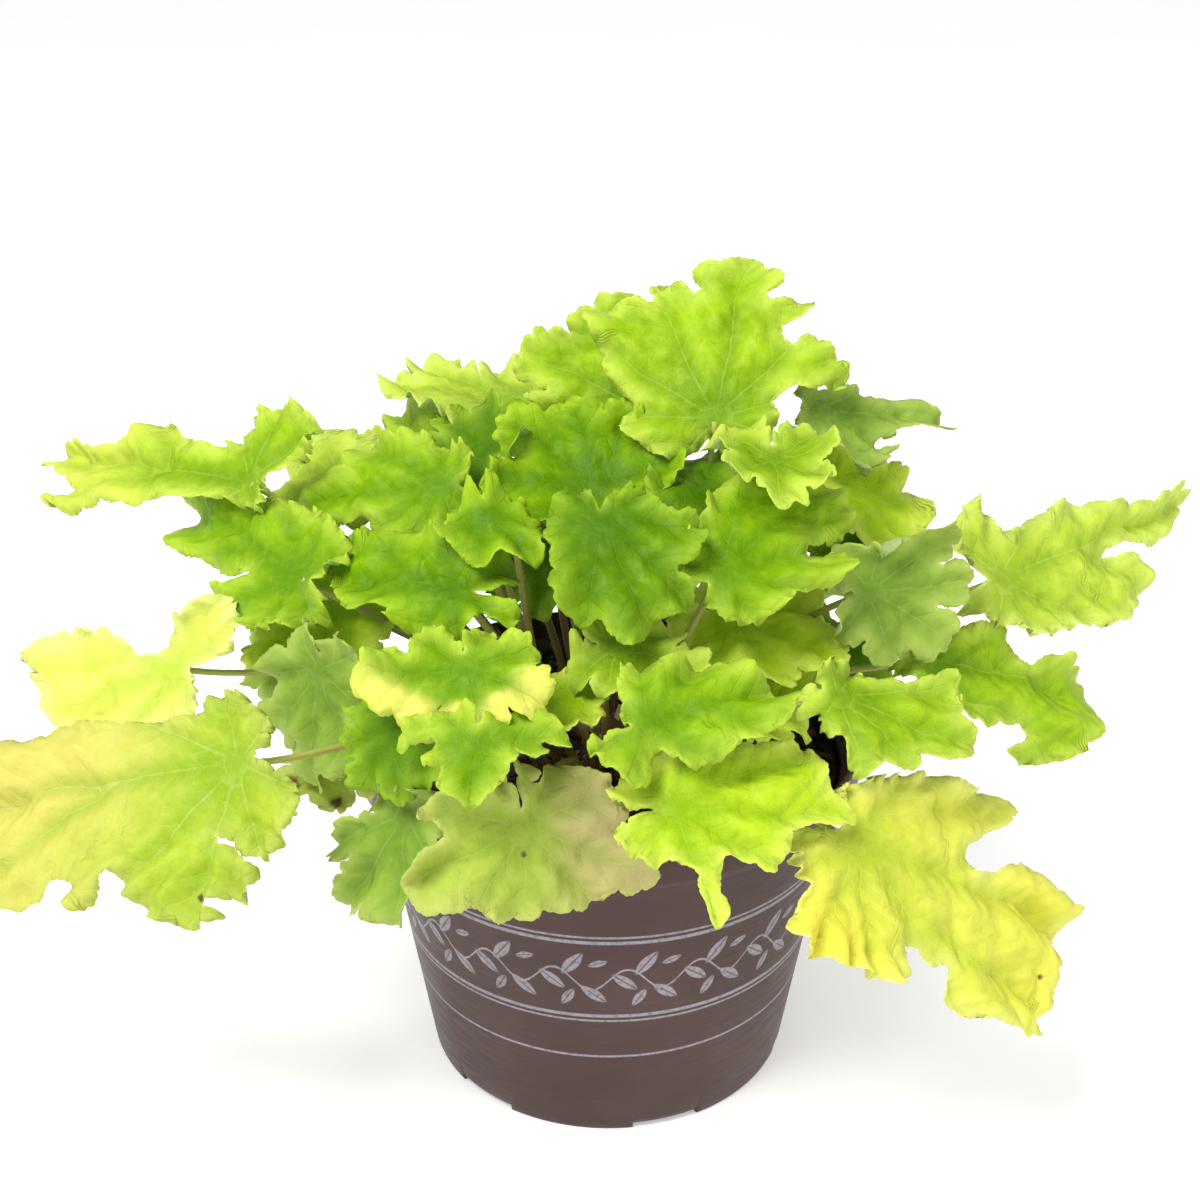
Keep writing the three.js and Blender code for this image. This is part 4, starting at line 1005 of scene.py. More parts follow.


# Leaves that show, from the top of the plant to its foot, and the ones just behind them. Those that sit in
# shade wear Tone.SHADE, whose darker colours are painted shade.
LEAVES = [
    Leaf("crest", Tone.LIME, (38, 7, 257), aim=71, rise=57, roll=9, cup=-8, arch=0,
         lobes=((-140, 19), (-98, 36), (-66, 49), (-35, 51), (0, 62), (36, 51), (66, 47), (96, 42),
                (145, 24)),
         margin=((-150, 17), (-118, 18), (-90, 22), (-65, 22), (-56, 29), (-63, 43), (-66, 48), (-60, 51),
                 (-48, 50), (-40, 47), (-35, 40), (-30, 38), (-27, 42), (-31, 50), (-30, 55), (-22, 54),
                 (-13, 49), (-16, 56), (-8, 59), (0, 64), (6, 59), (18, 56), (15, 48), (24, 54), (34, 55),
                 (38, 49), (44, 55), (60, 59), (68, 50), (78, 42), (87, 31), (101, 35), (126, 26),
                 (148, 20))),
    Leaf("crest_left", Tone.LIME, (14, 32, 251), aim=146, rise=14, roll=-47, cup=16,
         lobes=((-130, 26), (-82, 36), (-35, 46), (4, 53), (32, 46), (75, 32), (130, 24))),
    Leaf("crest_right", Tone.SAGE, (76, 25, 254), aim=10, rise=-15, roll=44,
         lobes=((-100, 11), (-48, 29), (-22, 30), (4, 46), (30, 24), (80, 14), (130, 11)),
         margin=((-140, 9), (-101, 11), (-83, 15), (-64, 16), (-52, 21), (-56, 26), (-55, 30), (-42, 30),
                 (-30, 30), (-20, 32), (-21, 28), (-15, 26), (-13, 30), (-4, 34), (-4, 41), (2, 54),
                 (10, 48), (18, 36), (18, 28), (24, 24), (36, 23), (64, 14), (106, 13), (150, 9))),
    Leaf("left_arm", Tone.PALE, (-38, 66, 244), aim=-177, rise=0, roll=-8, cup=10, arch=10, wave=3.2,
         lobes=((-128, 24), (-78, 26), (-32, 44), (0, 49), (32, 40), (76, 30), (125, 22))),
    Leaf("back_bowl", Tone.DEEP, (-3, 2, 234), aim=148, rise=18, roll=-33, cup=34, arch=0,
         lobes=((-132, 32), (-75, 32), (-35, 33), (0, 42), (38, 42), (78, 38), (125, 26))),
    Leaf("frill_cup", Tone.LIME, (57, -16, 251), aim=-88, rise=-14, roll=-4, cup=24, arch=0, wave=3.2,
         lean=40,
         lobes=((-130, 20), (-90, 23), (-46, 24), (0, 22), (46, 24), (88, 23), (130, 20))),
    Leaf("centre", Tone.SHADE, (-2, -42, 238), aim=-80, rise=-40, roll=3, cup=-12,
         lobes=((-145, 24), (-98, 28), (-52, 33), (-18, 46), (12, 46), (42, 40), (84, 34), (128, 30)),
         margin=((-150, 18), (-100, 20), (-60, 22), (-46, 28), (-34, 35), (-22, 38), (-10, 36), (-4, 42),
                 (8, 45), (21, 39), (36, 42), (46, 40), (49, 30), (52, 31), (68, 34), (87, 34), (94, 30),
                 (100, 20), (140, 22))),
    Leaf("centre_right", Tone.MID, (38, -45, 220), aim=30, rise=13, roll=39, arch=6, lean=-8,
         lobes=((-142, 20), (-88, 26), (-44, 44), (-12, 46), (14, 62), (44, 41), (78, 26), (130, 16)),
         margin=((-142, 12), (-110, 17), (-74, 22), (-44, 28), (-34, 42), (-20, 44), (-14, 33), (-8, 38),
                 (-10, 52), (1, 60), (16, 58), (38, 46), (59, 34), (72, 24), (125, 16), (165, 14))),
    Leaf("shade_right", Tone.SHADE, (99, 25, 201), aim=-71, rise=-48, roll=-11, arch=0,
         lobes=((-130, 20), (-80, 26), (-38, 28), (0, 26), (40, 28), (85, 30), (130, 28))),
    Leaf("right_back", Tone.SAGE, (92, -25, 204), aim=17, rise=-4, roll=70, cup=10, arch=0, wave=2.5,
         lean=10,
         lobes=((-125, 20), (-75, 26), (-30, 34), (0, 36), (32, 38), (75, 26), (125, 20)),
         curls=((80, 50, 0.45, 130),)),
    Leaf("right", Tone.PALE, (144, 2, 196), aim=20, rise=-11, roll=50, cup=-4, arch=4, wave=2.5,
         lobes=((-143, 24), (-100, 28), (-60, 32), (-22, 46), (0, 72), (19, 106), (52, 35), (95, 34),
                (130, 28)),
         margin=((-150, 16), (-124, 16), (-74, 21), (-60, 26), (-28, 38), (-16, 55), (-11, 62), (0, 74),
                 (8, 68), (12, 54), (13, 82), (17, 106), (20, 109), (24, 84), (33, 54), (43, 44), (75, 20),
                 (98, 32), (149, 22))),
    Leaf("right_low", Tone.LIME, (113, -20, 175), aim=4, rise=-21, roll=44, cup=-6,
         lobes=((-150, 18), (-80, 26), (-52, 40), (-30, 58), (-13, 72), (4, 77), (25, 54), (55, 22),
                (120, 14)),
         margin=((-150, 9), (-57, 18), (-34, 33), (-17, 50), (-32, 49), (-19, 70), (-4, 81), (8, 79),
                 (17, 62), (12, 43), (31, 40), (61, 15), (150, 9))),
    Leaf("folded_right", Tone.LIME, (76, -74, 189), aim=-1, rise=-23, roll=31, cup=12, arch=6, lean=-26,
         ring=24,
         lobes=((-110, 16), (-62, 28), (-32, 36), (-6, 49), (22, 42), (70, 14), (125, 11)),
         margin=((-172, 12), (-140, 14), (-116, 16), (-78, 15), (-73, 21), (-62, 28), (-46, 28), (-34, 35),
                 (-25, 33), (-20, 42), (-12, 48), (-2, 48), (4, 42), (17, 44), (28, 41), (28, 28), (42, 19),
                 (90, 14), (150, 11)), curls=((-115, 50, 0.45, -120),)),
    Leaf("shadow_right", Tone.SHADE, (77, 8, 160), aim=-12, rise=-21, roll=20,
         lobes=((-130, 20), (-75, 24), (-36, 30), (0, 36), (40, 30), (80, 24), (130, 20))),
    Leaf("under_right", Tone.BRIGHT, (42, -23, 193), aim=-19, rise=-13, roll=21, wave=2.5,
         lobes=((-130, 22), (-80, 27), (-38, 35), (0, 43), (40, 38), (80, 28), (130, 20))),
    Leaf("under_centre", Tone.LIME, (2, -58, 198), aim=-11, rise=-12, roll=20, wave=2.5, lean=-12,
         lobes=((-130, 18), (-85, 20), (-42, 26), (0, 32), (42, 24), (85, 18), (130, 16))),
    Leaf("front_centre", Tone.MID, (12, -100, 193), aim=15, rise=4, roll=30, cup=-8,
         lobes=((-170, 28), (-125, 26), (-84, 22), (-48, 28), (-20, 38), (4, 52), (38, 34), (80, 24),
                (130, 20)),
         margin=((-172, 20), (-150, 21), (-114, 22), (-103, 16), (-91, 9), (-68, 14), (-52, 22), (-32, 30),
                 (-16, 42), (-2, 48), (20, 38), (45, 30), (66, 24), (96, 22), (108, 16), (150, 8))),
    Leaf("behind_front", Tone.BRIGHT, (48, -40, 169), aim=20, rise=-4, roll=20, cup=-8, lean=16,
         lobes=((-125, 20), (-75, 22), (-35, 26), (0, 32), (36, 30), (78, 22), (125, 20))),
    Leaf("front_bright", Tone.BRIGHT, (20, -112, 169), aim=-1, rise=-4, roll=33, cup=-8, arch=10,
         lobes=((-165, 26), (-122, 30), (-93, 32), (-72, 46), (-52, 34), (-30, 44), (0, 60), (30, 48),
                (75, 28), (128, 22)),
         margin=((-165, 18), (-152, 21), (-120, 21), (-76, 21), (-76, 34), (-68, 42), (-60, 27), (-42, 26),
                 (-32, 38), (-8, 41), (-4, 54), (2, 62), (14, 54), (23, 56), (34, 47), (50, 32), (72, 20),
                 (112, 18), (149, 20), (170, 20))),
    Leaf("front_tan", Tone.TAN, (-27, -109, 160), aim=-49, rise=-64, roll=14, cup=-6, arch=0,
         lobes=((-120, 34), (-84, 43), (-52, 29), (-18, 30), (24, 36), (50, 45), (92, 29), (132, 21)),
         margin=((-172, 18), (-147, 19), (-136, 27), (-125, 34), (-116, 38), (-111, 32), (-104, 28),
                 (-97, 36), (-90, 42), (-81, 44), (-72, 43), (-64, 36), (-51, 30), (-40, 32), (-22, 31),
                 (-8, 29), (15, 34), (26, 38), (33, 38), (38, 45), (44, 51), (51, 50), (56, 42), (68, 34),
                 (84, 32), (96, 30), (107, 30), (118, 26), (133, 22), (152, 14), (148, 18), (168, 22)),
         gilt=((70, 85, 0.0, 1.3),), rust=((-20, 0.3, 1.8),)),
    Leaf("front_left", Tone.MID, (-42, -111, 192), aim=-97, rise=-41, roll=-6, arch=0, wave=2.5,
         lobes=((-126, 16), (-87, 25), (-48, 15), (0, 18), (42, 13), (82, 19), (102, 27), (132, 21)),
         margin=((-168, 11), (-127, 16), (-111, 22), (-98, 25), (-86, 26), (-90, 20), (-92, 14), (-62, 18),
                 (-54, 13), (-38, 18), (-16, 19), (0, 20), (18, 18), (42, 14), (72, 14), (86, 12), (76, 18),
                 (85, 22), (98, 22), (93, 30), (110, 28), (127, 24), (141, 15), (168, 11))),
    Leaf("gold_cup", Tone.MID, (-46, -84, 204), aim=-72, rise=-34, roll=9, cup=26, arch=0,
         lobes=((-138, 20), (-96, 36), (-46, 28), (0, 25), (50, 28), (98, 22), (150, 15)),
         curls=((-40, 70, 0.45, -45), (50, 60, 0.45, -45)), gilt=((-10, 100, 0.4, 8.0),)),
    Leaf("left_centre", Tone.DEEP, (-52, -48, 215), aim=177, rise=-10, roll=-30,
         lobes=((-150, 22), (-80, 24), (-44, 42), (-20, 46), (2, 38), (44, 22), (92, 17), (138, 26)),
         margin=((-172, 17), (-155, 24), (-132, 22), (-114, 20), (-76, 26), (-53, 36), (-42, 48), (-34, 57),
                 (-26, 60), (-18, 54), (-12, 46), (-1, 40), (8, 27), (24, 24), (48, 20), (90, 18),
                 (118, 15), (134, 14), (128, 22), (140, 27), (158, 23))),
    Leaf("left_upper", Tone.MID, (-59, -2, 235), aim=171, rise=-15, roll=-42,
         lobes=((-130, 15), (-80, 18), (-38, 42), (-4, 52), (24, 32), (56, 24), (100, 18), (145, 15)),
         margin=((-150, 14), (-110, 16), (-84, 18), (-64, 26), (-46, 38), (-31, 44), (-18, 45), (-11, 58),
                 (-3, 64), (6, 52), (12, 40), (16, 30), (24, 32), (37, 29), (56, 25), (72, 21), (100, 18),
                 (145, 15))),
    Leaf("left_frill", Tone.DEEP, (-42, -30, 236), aim=-76, rise=-24, roll=10, cup=-14, arch=0, wave=3.2,
         lobes=((-104, 14), (-66, 17), (-22, 20), (26, 28), (66, 17), (128, 11)),
         margin=((-158, 10), (-112, 14), (-76, 18), (-44, 18), (-22, 22), (2, 21), (26, 28), (48, 22),
                 (72, 18), (112, 13), (158, 10))),
    Leaf("back_left", Tone.LIME, (-66, 46, 222), aim=149, rise=8, roll=-44, arch=6,
         lobes=((-130, 22), (-75, 26), (-32, 34), (0, 46), (34, 40), (78, 28), (128, 22))),
    Leaf("far_left", Tone.LIME, (-132, 14, 230), aim=152, rise=-14, roll=-49, cup=-4, arch=4, wave=2.5,
         lobes=((-140, 34), (-104, 32), (-62, 31), (-24, 56), (-9, 113), (3, 92), (42, 36), (110, 20)),
         margin=((-156, 30), (-134, 34), (-108, 32), (-76, 28), (-70, 22), (-36, 26), (-28, 40), (-28, 56),
                 (-21, 68), (-16, 72), (-12, 94), (-10, 113), (-6, 118), (-1, 88), (5, 94), (7, 64),
                 (10, 36), (36, 12), (120, 12), (160, 12)), gilt=((-5, 40, 0.4, 0.45),)),
    Leaf("left_big", Tone.MID, (-110, -20, 207), aim=146, rise=-6, roll=-45,
         lobes=((-135, 26), (-88, 24), (-48, 34), (-16, 84), (8, 60), (34, 38), (72, 29), (130, 24)),
         margin=((-150, 21), (-98, 24), (-60, 30), (-36, 44), (-28, 66), (-22, 90), (-18, 98), (-13, 90),
                 (-12, 80), (-3, 75), (2, 56), (9, 36), (7, 26), (18, 40), (50, 28), (102, 20), (150, 18))),
    Leaf("yellow", Tone.YELLOW, (-155, -30, 176), aim=166, rise=-8, roll=-55, cup=-4, arch=4, wave=2,
         lobes=((-150, 24), (-122, 32), (-68, 12), (-16, 40), (2, 59), (20, 62), (38, 52), (62, 26),
                (120, 16)),
         margin=((-162, 23), (-146, 28), (-132, 32), (-118, 31), (-93, 20), (-51, 9), (-17, 16), (-25, 30),
                 (-20, 40), (-12, 55), (-2, 62), (12, 57), (26, 52), (40, 38), (82, 20), (112, 17),
                 (150, 9)), curls=((-96, 26, 0.4, 80),), rust=((62, 0.97, 2),)),
    Leaf("left_low", Tone.OLIVE, (-121, -94, 175), aim=-180, rise=-22, roll=-43, cup=-4, arch=6, lean=6,
         lobes=((-135, 24), (-84, 30), (-38, 56), (-9, 108), (7, 106), (32, 64), (62, 53), (90, 41),
                (140, 32)),
         margin=((-150, 14), (-106, 22), (-79, 26), (-53, 26), (-34, 48), (-26, 72), (-22, 94), (-14, 108),
                 (-4, 106), (6, 108), (14, 96), (17, 82), (16, 73), (20, 68), (28, 70), (28, 60), (26, 54),
                 (36, 55), (52, 56), (63, 54), (70, 49), (64, 45), (82, 44), (88, 36), (76, 29), (60, 24),
                 (82, 30), (101, 34), (116, 30), (134, 28), (152, 15)),
         gilt=((-12, 50, 0.1, 0.95), (24, 30, 0.6, 0.5)), rust=((62, 0.95, 2), (-9, 0.97, 3))),
    Leaf("left_under", Tone.SAGE, (-120, 2, 168), aim=-151, rise=-56, roll=-15, arch=0, wave=2.5,
         lobes=((-125, 16), (-70, 20), (-30, 24), (0, 28), (34, 26), (75, 22), (125, 18))),
    Leaf("left_hang", Tone.SAGE, (-100, -50, 186), aim=-133, rise=-74, roll=-6, arch=0, wave=2.5,
         lobes=((-125, 18), (-70, 26), (-30, 36), (0, 42), (30, 36), (70, 26), (125, 18))),
    Leaf("brown_edge", Tone.TAN, (-93, -38, 152), aim=-154, rise=-35, roll=-17, arch=0,
         lobes=((-125, 14), (-70, 18), (-30, 24), (0, 28), (34, 26), (75, 22), (125, 16)),
         rust=((0, 0.92, 4), (34, 0.9, 3), (-30, 0.95, 3))),
    Leaf("low_left", Tone.SHADE, (-68, -90, 188), aim=-156, rise=-50, roll=-27, arch=0, wave=2.5, lean=4,
         lobes=((-125, 14), (-70, 18), (-34, 22), (0, 26), (34, 26), (75, 24), (125, 16))),
    Leaf("low_hang", Tone.SAGE, (-67, -98, 158), aim=-173, rise=-60, roll=-40, cup=6, arch=0,
         lobes=((-125, 12), (-70, 16), (-32, 32), (0, 41), (34, 35), (72, 25), (125, 18))),
    Leaf("corner_gold", Tone.GOLD, (81, -101, 150), aim=-5, rise=-46, roll=35, cup=-4, arch=4,
         lobes=((-150, 30), (-116, 50), (-80, 44), (-52, 46), (-30, 50), (-12, 80), (2, 98), (21, 110),
                (46, 70), (80, 34), (130, 22)),
         margin=((-150, 24), (-134, 28), (-111, 26), (-95, 42), (-63, 43), (-38, 48), (-22, 40), (-17, 52),
                 (-11, 56), (-15, 65), (-9, 84), (-5, 97), (2, 104), (9, 105), (14, 99), (17, 94),
                 (22, 110), (31, 85), (32, 50), (46, 75), (54, 64), (74, 37), (113, 20), (150, 16)),
         gilt=((-80, 55, 0.3, 0.9), (20, 40, 0.5, 0.4)), rust=((10, 0.97, 1.8), (-30, 0.9, 1.4))),
    Leaf("fill_upper", Tone.PALE, (-103, 41, 219), aim=170, rise=-20, roll=-30, wave=2.5,
         lobes=((-125, 18), (-72, 24), (-34, 28), (0, 30), (34, 28), (72, 24), (125, 18))),
    Leaf("fill_left", Tone.BRIGHT, (-97, -2, 188), aim=-160, rise=-25, roll=-20, wave=2.5,
         lobes=((-125, 20), (-72, 26), (-34, 30), (0, 34), (34, 30), (72, 26), (125, 20))),
    Leaf("fill_inner", Tone.SHADE, (-19, 34, 194), aim=-105, rise=-22, roll=6, wave=2.5, lean=-25,
         lobes=((-125, 18), (-72, 22), (-34, 26), (0, 28), (34, 26), (72, 22), (125, 18))),
    Leaf("fill_cap", Tone.SHADE, (30, -10, 236), aim=-60, rise=-20, roll=0, cup=-8, arch=6, wave=2.5,
         lobes=((-125, 14), (-72, 18), (-34, 20), (0, 22), (34, 20), (72, 22), (125, 24))),
    Leaf("fill_right", Tone.BRIGHT, (92, 24, 222), aim=10, rise=-16, roll=30, cup=-8, arch=6, wave=2.5,
         lean=8,
         lobes=((-125, 20), (-72, 24), (-34, 28), (0, 26), (34, 22), (72, 18), (125, 18))),
    Leaf("young", Tone.BRIGHT, (-14, -64, 183), aim=-130, rise=-6, roll=-6, cup=12, arch=0, wave=2,
         lobes=((-120, 13), (-72, 19), (-34, 21), (0, 24), (34, 21), (72, 19), (120, 13)),
         gilt=((0, 90, 0.4, 0.6),)),
    Leaf("fill_back", Tone.SHADE, (-44, 18, 240), aim=120, rise=4, roll=-36, cup=10, arch=6, wave=2.5,
         lean=30,
         lobes=((-125, 16), (-72, 20), (-34, 23), (0, 24), (34, 23), (72, 20), (125, 16))),
]

# Leaves on the far side, in three tiers like shingles: name, bearings, distance out, height, rise, length.
BACK_TIERS = (
    ("back_low", (36, 70, 104, 150), 118, 164, -38, 54),
    ("back_mid", (44, 84, 122), 88, 200, -28, 45),
    ("back_top", (84,), 56, 232, -14, 40),
)
BACK_LOBES = ((-128, 0.5), (-76, 0.72), (-36, 0.9), (0, 1), (36, 0.9), (76, 0.72), (128, 0.5))


def back_leaves() -> list[Leaf]:
    """The far side's leaves, each with a little seeded play in its size and pose."""
    leaves = []
    for name, bearings, out, height, rise, length in BACK_TIERS:
        for index, bearing in enumerate(bearings):
            play = [2 * draw(bearing, k) - 1 for k in range(14)]
            long = length * (1 + 0.08 * play[1])
            at = (out * math.cos(bearing * DEG), out * math.sin(bearing * DEG), height + 4 * play[2])
            lobes = tuple((angle, long * share * (1 + 0.06 * play[6 + k]))
                          for k, (angle, share) in enumerate(BACK_LOBES))
            leaves.append(Leaf(
                f"{name}_{index + 1}", Tone.LIME, at, aim=bearing + 12 * play[3], rise=rise + 5 * play[4],
                roll=8 * play[5], lobes=lobes, cup=-12, arch=10, wave=2.5,
            ))
    return leaves


# ---------------------------------------------------------------- pot


@dataclass(frozen=True)
class PotFinish:
    """Printed polypropylene: thin-walled, injection-moulded, plum-brown with a satin skin and pale ink.

    Args:
        body: colour of the plastic.
        dust: colour of the dry dust on it.
        ink: colour of the printing.
        splash: colour of dried splashes at the foot.
    """

    body: str = "3A201B"
    dust: str = "523935"
    ink: str = "8E8890"
    splash: str = "4A3835"

    def material(self, pot: "Pot") -> bpy.types.Material:
        """Makes the material, with a border of plain leaf sprays between ruled lines.

        The border's pattern is worked out from the distance round the pot and the height. In each repeat,
        pointed leaves (ellipses turned to either side of a stem) stand on a wavy stem line.

        Args:
            pot: the pot, for the width round it.

        Returns:
            The material.
        """
        material = new_material("pot_printed_polypropylene")
        node = partial(add, material.node_tree)
        flat = node("UVMap", uv_map="flat")
        place = node("TexCoord").outputs["Object"]
        parts = node("SeparateXYZ", {0: flat})
        around, height = (node("Math", {0: parts.outputs[k], 1: 1 / MM}, **TIMES) for k in ("X", "Y"))
        repeat = pot.width_round / pot.SPRAYS
        # Ruled lines and the wavy stem: distance above each, half width, and width of its soft edge.
        phase = node("Math", {0: around, 1: 2 * math.pi / repeat}, **TIMES)
        wave = node("Math", {0: node("Math", {0: phase}, operation="SINE"), 1: pot.STEM_WAVE}, **TIMES)
        over_stem = node("Math", {0: height, 1: pot.STEM_LEVEL}, **MINUS)
        lines = [(node("Math", {0: height, 1: level}, **MINUS), thick / 2, 0.25)
                 for level, thick in pot.RULES]
        lines.append((node("Math", {0: over_stem, 1: wave}, **MINUS), 0.35, 0.3))
        ink: Any = 0.0
        for above, half, blur in lines:
            off = node("Math", {0: above}, operation="ABSOLUTE")
            line = node("MapRange", {0: off, 1: half, 2: half + blur, 3: 1.0, 4: 0.0})
            ink = node("Math", {0: ink, 1: line}, operation="MAXIMUM")
        # Leaves: each is the overlap of a turned, stretched disc with its repeat.
        cell = node("Math", {0: node("Math", {0: around, 1: 1 / repeat}, **TIMES)}, operation="FRACT")
        along = node("Math", {0: node("Math", {0: cell, 1: 0.5}, **MINUS), 1: repeat}, **TIMES)
        for x, y, turn, long, wide in pot.SPRAY:
            dx = node("Math", {0: along, 1: x}, **MINUS)
            pair = node("CombineXYZ", {0: dx, 1: node("Math", {0: over_stem, 1: y}, **MINUS)})
            spun = node("VectorRotate", {"Vector": pair, "Angle": -turn * DEG}, rotation_type="Z_AXIS")
            size = node("VectorMath", {0: spun, 1: (1 / long, 1 / wide, 0.0)}, **TIMES)
            axes = node("SeparateXYZ", {0: size})
            aside = node("Math", {0: axes.outputs["Y"]}, operation="ABSOLUTE")
            # Pointed ends: the width falls as 1 - x^2.
            square = node("Math", {0: axes.outputs["X"], 1: 2.0}, operation="POWER")
            lens = node("Math", {0: aside, 1: square}, **PLUS)
            leaf = node("MapRange", {0: lens, 1: 0.85, 2: 1.0, 3: 1.0, 4: 0.0})
            rib = node("MapRange", {0: aside, 1: 0.08, 2: 0.16, 3: 0.25, 4: 1.0})
            ink = node("Math", {0: ink, 1: node("Math", {0: leaf, 1: rib}, **TIMES)}, operation="MAXIMUM")
        # Ink sits a little thin and broken. Dust lies in clouds, and splashes stain the foot.
        wear, cloud, grain = (
            node("TexNoise", {"Vector": place, "Scale": 1 / (pitch * MM), "Detail": detail})
            for pitch, detail in ((1.6, 5.0), (45.0, 5.0), (0.9, 3.0))
        )
        solid = node("MapRange", {0: wear, 1: 0.3, 2: 0.55, 3: 0.45, 4: 0.95})
        ink = node("Math", {0: ink, 1: solid}, **TIMES)
        dusty = node("MapRange", {0: cloud, 1: 0.42, 2: 0.75, 3: 0.0, 4: 0.38}, **SOFT)
        foot = node("MapRange", {0: height, 1: 0.0, 2: 22.0, 3: 0.35, 4: 0.0}, **SOFT)
        skin: Any = linear(self.body)
        for mask, code in ((dusty, self.dust), (foot, self.splash), (ink, self.ink)):
            skin = node("Mix", {0: mask, 6: skin, 7: linear(code)}, **COLOUR)
        # Scuffs: long faint scratches round the wall.
        stretched = node("Mapping", {"Vector": flat, "Scale": (60, 900, 1)})
        scratch = node("TexNoise", {"Vector": stretched, "Scale": 1.0, "Detail": 4.0})
        rough = node("MapRange", {0: scratch, 1: 0.35, 2: 0.7, 3: 0.34, 4: 0.52})
        relief = node("Math", {0: node("Math", {0: scratch, 1: 0.6}, **TIMES), 1: grain}, **PLUS)
        bump = node("Bump", {"Strength": 0.22, "Distance": 0.2 * MM, "Height": relief})
        shine = node("BsdfPrincipled", {"Base Color": skin, "Roughness": rough, "IOR": 1.49, "Normal": bump,
                                        "Specular IOR Level": 0.35})
        node("OutputMaterial", {"Surface": shine})
        return material


@dataclass
class Pot:
    """Round nursery pot: a tapered shell, a stiff band round its mouth and six drain slots at its foot."""

    height: float = 138.0
    foot_radius: float = 71.0
    wall_top_radius: float = 92.5
    band_radius: float = 97.0
    band_height: float = 13.0
    wall: float = 1.8
    floor: float = 2.4
    slots: int = 6
    slot_height: float = 3.2
    slot_width: float = 26.0
    slot_depth: float = 4.5
    first_slot: float = -72.0

    # The printed border: number of repeats, level and width of each ruled line, and the stem's place.
    BORDER_RADIUS = 83.0
    SPRAYS = 20
    RULES = ((58.5, 0.7), (61.0, 1.3), (97.0, 1.3), (99.5, 0.7), (40.0, 0.8))
    STEM_LEVEL = 79.0
    STEM_WAVE = 5.0
    # Leaves of one repeat: place from its middle, turn, half length and half width.
    SPRAY = ((0.0, 7.5, 55.0, 7.0, 2.6), (7.5, -7.0, -40.0, 6.5, 2.4), (-7.5, -1.0, 140.0, 6.5, 2.4),
             (-2.0, -9.0, -120.0, 5.0, 2.0), (9.0, 8.0, 20.0, 4.0, 1.6))

    @property
    def width_round(self) -> float:
        """Distance round the wall at the border."""
        return 2 * math.pi * self.BORDER_RADIUS

    def wall_radius(self, level: float | np.ndarray) -> float | np.ndarray:
        """Outer radius of the wall at a height."""
        return self.foot_radius + (self.wall_top_radius - self.foot_radius) * level / self.height

    def surface(self) -> Surface:
        """The shell.

        A profile of radius and height goes round the axis. Within a drain slot the foot's rim is lifted
        by the slot's height; two columns 0.06 degree apart stand at each side of a slot, so its ends are
        upright.

        Returns:
            The closed shell.
        """
        ledge = self.height - self.band_height
        out, top = self.band_radius, self.height
        w, f = self.wall, self.floor
        foot = self.foot_radius
        inner = foot - self.slot_depth
        neck = self.wall_radius(ledge)
        # Radius, height, and how much of the slot's lift the point takes.
        profile = [(inner - 0.4, 0, 0), (inner, 0.0, 1), (foot - 0.8, 0, 1), (foot - 0.2, 0.25, 1),
                   (self.wall_radius(1), 1, 0.8), (self.wall_radius(4.5), 4.5, 0)]
        profile += [(self.wall_radius(z), z, 0) for z in np.linspace(12, ledge - 1.2, 12)]
        profile += [(neck + 0.1, ledge - 0.3, 0), (neck + 1.0, ledge + 0.3, 0), (out - 1.4, ledge + 0.7, 0),
                    (out - 0.7, ledge + 1.3, 0), (out - 0.5, ledge + 3, 0), (out - 0.1, top - 4, 0),
                    (out, top - 1.6, 0), (out - 0.3, top - 0.6, 0), (out - 0.9, top, 0),
                    (out - 1.9, top, 0), (out - 2.5, top - 0.5, 0), (out - 2.8, top - 1.6, 0),
                    (out - 3.2, ledge + 3.2, 0), (out - 3.8, ledge + 2, 0),
                    (neck - w + 0.4, ledge - 0.2, 0), (neck - w, ledge - 1.4, 0)]
        profile += [(self.wall_radius(z) - w, z, 0) for z in (100, 70, 40, 15)]
        profile += [(self.wall_radius(f) - w, f + 4.5, 0), (inner - w - 1, f, 0)]
        radius, level, lift = np.array(profile, float).T
        half = math.degrees(math.asin(self.slot_width / 2 / foot))
        pitch = 360 / self.slots
        sides = [self.first_slot + pitch * k + side * half for k in range(self.slots) for side in (-1, 1)]
        turns = [*np.arange(0, 360, 2.0), *((edge + gap) % 360 for edge in sides for gap in (-0.03, 0.03))]
        turns = np.array(sorted(turns))
        near = (turns - self.first_slot + pitch / 2) % pitch - pitch / 2
        slot = (np.abs(near) < half).astype(float)
        angle = turns * DEG
        rise = (lift * np.maximum(self.slot_height - level, 0))[:, None]
        x, y = radius[:, None] * np.cos(angle), radius[:, None] * np.sin(angle)
        points = np.stack([x, y, level[:, None] + slot * rise], -1).reshape(-1, 3)
        columns = len(turns)
        # The pattern's seam is at the back.
        round_ = ((turns - 90) % 360) / 360 * self.width_round
        flat = np.stack([np.tile(round_, len(profile)), np.repeat(level, columns)], -1)
        flat = np.concatenate([flat, [[0, 0], [0, f]]])
        points, faces = capped(points, columns, (0, 0, 0), (0, 0, f))
        return Surface(points, faces, np.zeros(len(faces)), flat)

    def build(self, finish: PotFinish) -> bpy.types.Object:
        """Makes the pot in place of its node."""
        return self.surface().made("nursery_pot", [finish.material(self)], ["pot"], wrap=self.width_round)


# ---------------------------------------------------------------- bark mix and crown


